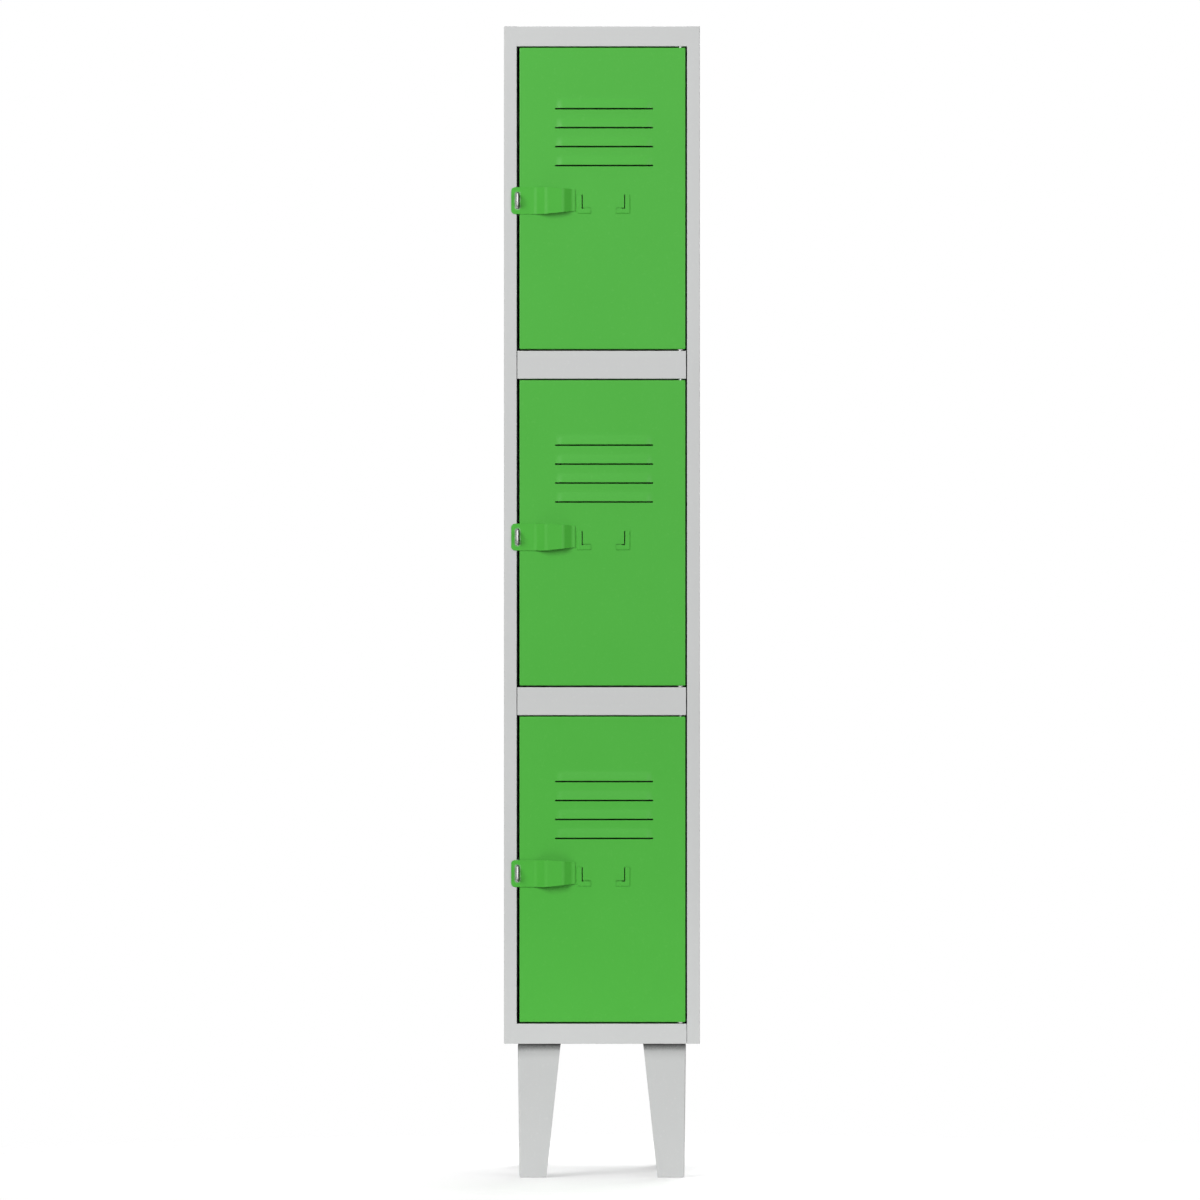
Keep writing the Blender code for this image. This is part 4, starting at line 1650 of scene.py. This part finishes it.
@dataclass
class Pivots:
    """The doors' pivot pins in the carcass and the nylon bushes that turn on them."""

    layout: Layout
    paints: Paints
    repeater: Repeater
    pin_radius: float = 0.00225
    head_radius: float = 0.0040
    head_height: float = 0.0014
    collar: float = 0.0007
    reach: float = 0.010
    play: float = 0.0003
    bush_wall: float = 0.00075
    bush_flange: float = 0.0042
    bush_height: float = 0.0010
    tip_chamfer: float = 0.0008
    tip_share: float = 0.72
    bush_chamfer: float = 0.0002
    sharp_from: float = 35.0

    def head(self, seat: float, way: int) -> list[Pair]:
        """Profile of a pin's domed head, which stands up (1) or hangs down (-1) from its seat."""
        dome = ((0.55, 1.0), (0.9, 0.7), (1.0, 0.25), (1.0, 0.0))
        return [(self.head_radius * r, seat + way * self.head_height * h) for r, h in dome]

    def lower_pin(self) -> bmesh.types.BMesh:
        """Draws the riveted pin under a door.

        Returns:
            The pin, with the sill's face at 0.
        """
        at, r, head = self.layout, self.pin_radius, self.head_radius
        under, collar = -at.sheet - at.fit, at.fit
        profile = self.head(under, -1) + [(r, under), (r, collar), (head, collar)]
        profile += [(head, collar + self.collar), (r, collar + self.collar)]
        profile += [(r, self.reach - self.tip_chamfer), (r * self.tip_share, self.reach)]
        return turned(profile)

    def upper_pin(self) -> bmesh.types.BMesh:
        """Draws the headed pin over a door.

        Returns:
            The pin, with the lintel's face at 0.
        """
        at, r = self.layout, self.pin_radius
        seat = at.sheet + at.fit
        profile = self.head(seat, 1) + [(r, seat)]
        profile += [(r, -self.reach + self.tip_chamfer), (r * self.tip_share, -self.reach)]
        return turned(profile)

    def lintel(self, tier: Tier) -> float:
        """Height of the rail's edge over a tier's door, a fixed reach above its pin's tip."""
        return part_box(f"hinge_pin_upper_{tier.value}")[0].z + self.reach

    def pins(self) -> None:
        """Sets out the pins, all the lower ones as one piece and all the upper ones as another."""
        at = self.layout
        sills = [(*at.pivot, at.decks[tier][1].z) for tier in Tier]
        lintels = [(*at.pivot, self.lintel(tier)) for tier in Tier]
        for label, shape, places in (
            ("lower", self.lower_pin(), sills),
            ("upper", self.upper_pin(), lintels),
        ):
            mesh = self.repeater.set_out(shape, places, self.paints.zinc)
            mesh = shaded(mesh, self.sharp_from)
            nodes = [f"hinge_pin_{label}_{tier.value}" for tier in Tier]
            publish(f"pivot_pins_{label}", mesh, self.paints.zinc, CARCASS_BODY, nodes)

    def bush(self, name: str, node: str, tier: Tier) -> None:
        """Builds one flanged bush, whose flange is its lower end.

        Args:
            name: The piece's name.
            node: The CAD node that it replaces.
            tier: The door that it turns with.
        """
        low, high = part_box(node)
        bore, edge = self.pin_radius + self.play, self.bush_chamfer
        sleeve, flange, step = bore + self.bush_wall, self.bush_flange, low.z + self.bush_height
        profile = [(bore, low.z + edge), (bore * 1.08, low.z), (flange * 0.94, low.z)]
        profile += [(flange, low.z + edge), (flange, step - edge), (flange * 0.95, step)]
        profile += [(sleeve, step), (sleeve, high.z - edge), (sleeve * 0.96, high.z)]
        profile.append((bore, high.z))
        mesh = mesh_of(turned(profile, self.layout.pivot, bored=True))
        mesh = shaded(mesh, self.sharp_from)
        publish(name, mesh, self.paints.nylon, tier.body, [node])

    def build(self) -> None:
        """Builds the pins and the bushes."""
        self.pins()
        for tier in Tier:
            for level in ("lower", "upper"):
                node = f"hinge_bush_{level}_{tier.value}"
                self.bush(f"pivot_bush_{level}_{tier.value}", node, tier)


@dataclass
class Door:
    """One door: its louvred pan, the card holder's lips and the hat channel behind."""

    tier: Tier
    layout: Layout
    paints: Paints
    louvres: Louvres
    sheet: float = 0.001
    fold: float = 0.0016
    pan_depth: float = 0.015
    lip: float = 0.012
    lip_relief: float = 0.006
    bush_hole: float = 0.0036
    card_width: float = 0.084
    card_height: float = 0.030
    card_lip: float = 0.008
    card_foot: float = 0.022
    card_rise: float = 0.0016
    card_above_edge: float = 0.2265
    card_sheet: float = 0.0009
    card_slit: float = 0.0016
    card_shift: float = 0.0015
    crown: float = 0.036
    brim: float = 0.012
    channel_depth: float = 0.011
    channel_end_gap: float = 0.025
    sharp_from: float = 30.0
    slit_past: float = 0.0004
    slit_depth: float = 0.0014
    lip_edge: float = 0.0004
    lip_profile: tuple[Pair, ...] = (
        (0.0, 0.06),
        (0.0004, 0.40),
        (0.0009, 0.74),
        (0.0015, 0.93),
        (0.0022, 1.0),
    )

    def __post_init__(self) -> None:
        """Reads the door's own place."""
        low, high = self.layout.doors[self.tier]
        self.bottom, self.top = low.z, high.z
        self.card_middle = self.bottom + self.card_above_edge

    def piece(self, name: str, mesh: bpy.types.Mesh, *stands_for: str) -> None:
        """Publishes one of the door's pieces.

        Args:
            name: Its name, to which the tier's is added.
            mesh: Its mesh.
            stands_for: The CAD nodes that it replaces, named in the same way.
        """
        tier = self.tier
        nodes = [f"{node}_{tier.value}" for node in stands_for]
        publish(f"{name}_{tier.value}", mesh, self.paints.door, tier.body, nodes)

    def pan_sheet(self) -> FoldedSheet:
        """Folds the pan, with the louvre bank set into its front.

        Returns:
            Its outer faces.
        """
        at, bank = self.layout, self.louvres
        centre = at.door_centre + bank.shift
        inner_columns, inner_rows = bank.columns(centre), bank.rows(self.bottom)
        columns = [at.door_left, *inner_columns, at.door_right]
        low, high = self.bottom + self.lip_relief, self.top - self.lip_relief
        rows = [self.bottom, low, *inner_rows, high, self.top]
        last_column, last_row = len(inner_columns), len(inner_rows) + 1

        def in_bank(i: int, j: int) -> bool:
            """Whether a cell of the front belongs to the louvre bank."""
            return 1 <= i < last_column and 2 <= j < last_row

        depths = [at.front, at.front + self.pan_depth]
        sheet = FoldedSheet()
        sheet.grid(Y, at.front, columns, rows, -1, in_bank)
        sheet.grid(X, at.door_left, depths, rows, -1)
        sheet.grid(X, at.door_right, depths, rows, 1)
        sheet.grid(Z, self.bottom, columns, depths, -1)
        sheet.grid(Z, self.top, columns, depths, 1)
        sheet.grid(Y, depths[1], [at.door_left, at.door_left + self.lip], rows[1:-1], 1)
        sheet.grid(Y, depths[1], [at.door_right - self.lip, at.door_right], rows[1:-1], 1)
        sheet.add(bank.bank(centre, at.front, self.bottom, self.paints.door))
        return sheet

    def card_edge(self, side: int) -> float:
        """Outer edge of a card lip, -1 for the left one and 1 for the right."""
        return self.layout.door_centre + self.card_shift + side * self.card_width / 2

    def lip_slit(self, side: int) -> bmesh.types.BMesh:
        """Draws the L-shaped slit that a card lip was lanced from, along its free edge.

        Args:
            side: -1 for the left lip and 1 for the right.

        Returns:
            The cutter.
        """
        at = self.layout
        outer = self.card_edge(side)
        edge, toe = outer - side * self.card_lip, outer - side * self.card_foot
        low = self.card_middle - self.card_height / 2 + self.card_lip
        high = self.card_middle + self.card_height / 2
        under, upper = low - self.slit_past, low + self.card_slit
        near, far = edge + side * self.slit_past, edge - side * self.card_slit
        outline = [(near, high), (near, under), (toe, under)]
        outline += [(toe, upper), (far, upper), (far, high)]
        return prism(outline, Y, at.front - DRILL_PAST, at.front + self.slit_depth)

    def pan(self) -> None:
        """Builds the pan."""
        at = self.layout
        cutters = [self.lip_slit(side) for side in (-1, 1)]
        for level in (self.bottom, self.top):
            ends = (level - DRILL_PAST, level + DRILL_PAST)
            cutters.append(drill(self.bush_hole, at.pivot, *ends))
        mesh = cut(self.pan_sheet().solid(self.sheet, self.fold), cutters)
        mesh = shaded(mesh, self.sharp_from)
        self.piece("door_pan", mesh, "door")

    def card_holder(self) -> None:
        """Builds the two raised L-shaped lips that hold a name card."""
        at = self.layout
        inner = [(self.card_lip - self.lip_edge, 1.0), (self.card_lip, 0.94)]
        offsets = [*self.lip_profile, *inner]
        sheet = FoldedSheet()
        for side in (-1, 1):
            outer = self.card_edge(side)
            toe = outer - side * self.card_foot
            low = self.card_middle - self.card_height / 2
            high = self.card_middle + self.card_height / 2
            rows = []
            for offset, lift in offsets:
                y = at.front - self.card_rise * lift
                x, z = outer - side * offset, low + offset
                rows.append([(x, y, high), (x, y, z), (toe, y, z)])
            for row, after in zip(rows, rows[1:]):
                for n in range(2):
                    sheet.face([row[n], row[n + 1], after[n + 1], after[n]], (0, -1, 0))
        mesh = shaded(sheet.solid(self.card_sheet, self.fold))
        self.piece("card_holder", mesh)

    def channel(self) -> None:
        """Builds the hat channel up the inside of the door."""
        at = self.layout
        low = self.bottom + self.channel_end_gap
        high = self.louvres.foot(self.bottom) - self.channel_end_gap
        brim_face = at.front + self.sheet + at.fit + self.sheet
        crown_face = brim_face + self.channel_depth
        sheet = FoldedSheet()
        for side in (-1, 1):
            wall = at.door_centre + side * self.crown / 2
            sheet.grid(Y, brim_face, sorted((wall, wall + side * self.brim)), [low, high], 1)
            sheet.grid(X, wall, [brim_face, crown_face], [low, high], side)
        edges = [at.door_centre - self.crown / 2, at.door_centre + self.crown / 2]
        sheet.grid(Y, crown_face, edges, [low, high], 1)
        mesh = shaded(sheet.solid(self.sheet, self.fold))
        self.piece("hat_channel", mesh, "door_stiffener")

    def build(self) -> None:
        """Builds the door's sheet pieces."""
        self.pan()
        self.card_holder()
        self.channel()


@dataclass
class Lock:
    """A tier's hasp on the door and the padlock tongue on the post."""

    tier: Tier
    layout: Layout
    paints: Paints
    above_edge: float = 0.232
    plate: float = 0.0015
    height: float = 0.042
    flat: float = 0.038
    ramp: float = 0.016
    rise: float = 0.010
    foot_return: float = 0.0145
    foot: float = 0.004
    taper_low: float = 0.005
    taper_high: float = 0.003
    corner: float = 0.006
    bend: float = 0.0035
    slot_width: float = 0.007
    slot_height: float = 0.027
    edge_round: float = 0.00035
    edge_angle: float = 1.0
    bend_from: float = 20.0
    bend_steps: int = 5
    tongue_plate: float = 0.002
    tongue_height: float = 0.020
    tongue_reach: float = 0.018
    tongue_lift: float = 0.0012
    hole_radius: float = 0.004
    hole_from_tip: float = 0.0095
    root_height: float = 0.040
    root_front: float = 0.004
    root_rear: float = 0.0175
    corner_steps: int = 6
    slot_steps: int = 8
    nose_steps: int = 16
    hole_steps: int = 24

    def __post_init__(self) -> None:
        """Reads the lock's own place."""
        self.middle = self.layout.doors[self.tier][0].z + self.above_edge
        low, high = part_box(f"padlock_tongue_{self.tier.value}")
        self.tongue_left = low.x
        self.slot_centre = low.x + self.tongue_plate / 2 - self.layout.fit

    def near(self, mesh: bpy.types.Mesh, first: int, middle: Pair) -> None:
        """Stores each point's offset from a slot's or hole's middle.

        Args:
            mesh: The plate.
            first: The axis that the offset's first number follows; the second follows Z.
            middle: The middle, on those axes.
        """
        layer = mesh.attributes.new("near", "FLOAT_VECTOR", "POINT")
        for vertex in mesh.vertices:
            across, along = vertex.co[first] - middle[0], vertex.co.z - middle[1]
            layer.data[vertex.index].vector = (across, along, 0.0)

    def edged(self, mesh: bpy.types.Mesh) -> bpy.types.Mesh:
        """Takes the sharpness off a plate's edges and shades it."""
        return shaded(blunted(mesh, self.edge_round, 2, self.edge_angle))

    def hasp(self) -> None:
        """Builds the strip: its tab reaches over the post and its middle stands off as a pull."""
        at = self.layout
        box_low, box_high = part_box(f"hasp_{self.tier.value}")
        left, right = box_low.x, box_high.x
        low, high = self.middle - self.height / 2, self.middle + self.height / 2
        face = at.front - at.fit - self.plate
        bend_at = left + self.flat
        sheet = FoldedSheet()
        c = self.corner
        tab = arc((left + c, high - c), c, 90, 180, self.corner_steps)
        tab += arc((left + c, low + c), c, 180, 270, self.corner_steps)
        tab += [(bend_at, low), (bend_at, high)]
        r, straight = self.slot_width / 2, (self.slot_height - self.slot_width) / 2
        slot = arc((self.slot_centre, self.middle + straight), r, 0, 180, self.slot_steps)
        slot += arc((self.slot_centre, self.middle - straight), r, 180, 360, self.slot_steps)
        loops = [[sheet.point((x, face, z)) for x, z in loop] for loop in (tab, slot)]
        pierced(sheet.shape, loops, (0.0, -1.0, 0.0))
        top_of_ramp = bend_at + self.ramp
        foot = right - self.foot
        stations = [(bend_at, 0.0), (top_of_ramp, self.rise), (foot - self.foot_return, self.rise)]
        stations += [(foot, 0.0), (right, 0.0)]
        bounds = []
        for x, lift in stations:
            share = max(0.0, (x - top_of_ramp) / (right - top_of_ramp))
            under, over = low + self.taper_low * share, high - self.taper_high * share
            bounds.append((x, face - lift, under, over))
        for (x0, y0, low0, high0), (x1, y1, low1, high1) in zip(bounds, bounds[1:]):
            corners = [(x0, y0, low0), (x1, y1, low1), (x1, y1, high1), (x0, y0, high0)]
            sheet.face(corners, (0, -1, 0))
        mesh = sheet.solid(self.plate, self.bend, self.bend_steps, self.bend_from)
        mesh = self.edged(mesh)
        self.near(mesh, X, (self.slot_centre, self.middle))
        tier, node = self.tier, f"hasp_{self.tier.value}"
        publish(f"hasp_strip_{tier.value}", mesh, self.paints.hasp, tier.body, [node])

    def tongue(self) -> None:
        """Builds the plate on the post, whose pierced nose passes through the hasp's slot."""
        at = self.layout
        middle = self.middle + self.tongue_lift
        nose, root = self.tongue_height / 2, self.root_height / 2
        tip = at.front - self.tongue_reach
        front, rear = at.front + self.root_front, at.front + self.root_rear
        outline = [(rear, middle - root), (rear, middle + root)]
        outline += [(front, middle + root), (front, middle + nose)]
        outline += arc((tip + nose, middle), nose, 90, 270, self.nose_steps)
        outline += [(front, middle - nose), (front, middle - root)]
        eye = (tip + self.hole_from_tip, middle)
        hole = arc(eye, self.hole_radius, 0, 360, self.hole_steps)[:-1]
        shape, left = bmesh.new(), self.tongue_left
        loops = [[shape.verts.new((left, y, z)) for y, z in loop] for loop in (outline, hole)]
        pierced(shape, loops, (-1.0, 0.0, 0.0))
        mesh = self.edged(thickened(mesh_of(shape), self.tongue_plate))
        self.near(mesh, Y, eye)
        name, node = f"padlock_plate_{self.tier.value}", f"padlock_tongue_{self.tier.value}"
        publish(name, mesh, self.paints.tongue, CARCASS_BODY, [node])

    def build(self) -> None:
        """Builds the hasp and the tongue."""
        self.hasp()
        self.tongue()


# The studio -------------------------------------------------------------------------------------


@dataclass(frozen=True)
class SoftBox:
    """One rectangular studio light."""

    name: str
    place: Place
    width: float
    height: float
    power: float

    def build(self, target: Vector) -> None:
        """Sets the light up.

        Args:
            target: The point that it looks at.
        """
        data = bpy.data.lights.new(self.name, "AREA")
        data.shape = "RECTANGLE"
        data.size, data.size_y, data.energy = self.width, self.height, self.power
        lamp = placed(self.name, data)
        lamp.location = self.place
        lamp.rotation_euler = (target - Vector(self.place)).to_track_quat("-Z", "Y").to_euler()
        lamp.visible_camera = False


@dataclass
class Studio:
    """Floor, lights, surroundings and camera."""

    layout: Layout
    camera_distance: float = 20.0
    camera_x: float = -0.0030
    camera_height: float = 0.9035
    framed: float = 1.875
    sensor: float = 36.0
    surroundings: float = 0.14
    clip: Pair = (0.1, 100.0)
    floor_half: float = 3.0
    floor_cells: int = 12
    lights: tuple[SoftBox, ...] = (
        SoftBox("key_light", (-2.2, -3.7, 2.8), 2.4, 2.4, 145.0),
        SoftBox("fill_light", (1.9, -4.0, 1.6), 1.6, 1.6, 57.0),
        SoftBox("overhead_light", (0.0, 1.0, 5.6), 4.4, 4.4, 170.0),
        SoftBox("rear_light", (0.9, 3.4, 1.8), 2.0, 2.0, 60.0),
    )

    def floor(self) -> None:
        """Lays the floor, which is not part of the object."""
        lines = lines_of(-self.floor_half, [(self.floor_cells, 2 * self.floor_half)])
        sheet = FoldedSheet()
        sheet.grid(Z, 0.0, lines, lines, 1)
        mesh = mesh_of(sheet.shape, "studio_floor")
        mesh.materials.append(StudioFloor().material())
        floor = placed("studio_floor", mesh)
        floor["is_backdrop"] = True

    def room(self) -> None:
        """Makes the surroundings: white to look at, softer as a light."""
        world = bpy.data.worlds.new("studio")
        world.use_nodes = True
        bpy.context.scene.world = world
        bench = Bench(world.node_tree)
        world.node_tree.nodes.remove(world.node_tree.nodes["Background"])
        glow, seen = (
            bench.node("ShaderNodeBackground", None, {"Color": WHITE, "Strength": strength})
            for strength in (self.surroundings, 1.0)
        )
        looked_at = bench.node("ShaderNodeLightPath", output="Is Camera Ray")
        mixed = bench.node("ShaderNodeMixShader", None, {0: looked_at, 1: glow, 2: seen})
        bench.feed(world.node_tree.nodes["World Output"].inputs["Surface"], mixed)

    def camera(self) -> None:
        """Sets the camera square in front of the locker."""
        data = bpy.data.cameras.new("camera")
        data.sensor_width = self.sensor
        data.lens = self.sensor * self.camera_distance / self.framed
        data.clip_start, data.clip_end = self.clip
        camera = placed("camera", data)
        y = self.layout.front - self.camera_distance
        camera.location = (self.camera_x, y, self.camera_height)
        camera.rotation_euler = (math.pi / 2, 0.0, 0.0)
        bpy.context.scene.camera = camera

    def build(self) -> None:
        """Sets up the studio."""
        self.floor()
        self.room()
        target = Vector((0.0, 0.0, self.layout.height / 2))
        for light in self.lights:
            light.build(target)
        self.camera()
        bpy.context.scene.view_settings.view_transform = "Standard"


def write_sizes() -> None:
    """Logs the sizes of the CAD box and the visual model's box."""
    boxes = {"cad": [list(corner) for corner in cad_box], "visual": [list(corner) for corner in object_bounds()]}
    for name, (low, high) in boxes.items():
        log.info("%s box %s mm", name, [round(1000 * (b - a), 2) for a, b in zip(low, high)])


def main() -> None:
    """Builds the locker piece by piece, then the studio round it."""
    logging.basicConfig(level=logging.INFO, format="%(name)s: %(message)s")
    layout, repeater, louvres = Layout(), Repeater(), Louvres()
    paints = Paints(layout.foot)
    legs = Legs(layout, paints, repeater)
    Carcass(layout, paints, repeater).build(legs.every_bolt())
    legs.build()
    Pivots(layout, paints, repeater).build()
    for tier in Tier:
        Door(tier, layout, paints, louvres).build()
        Lock(tier, layout, paints).build()
    Studio(layout).build()
    write_sizes()


if __name__ == "__main__":
    main()
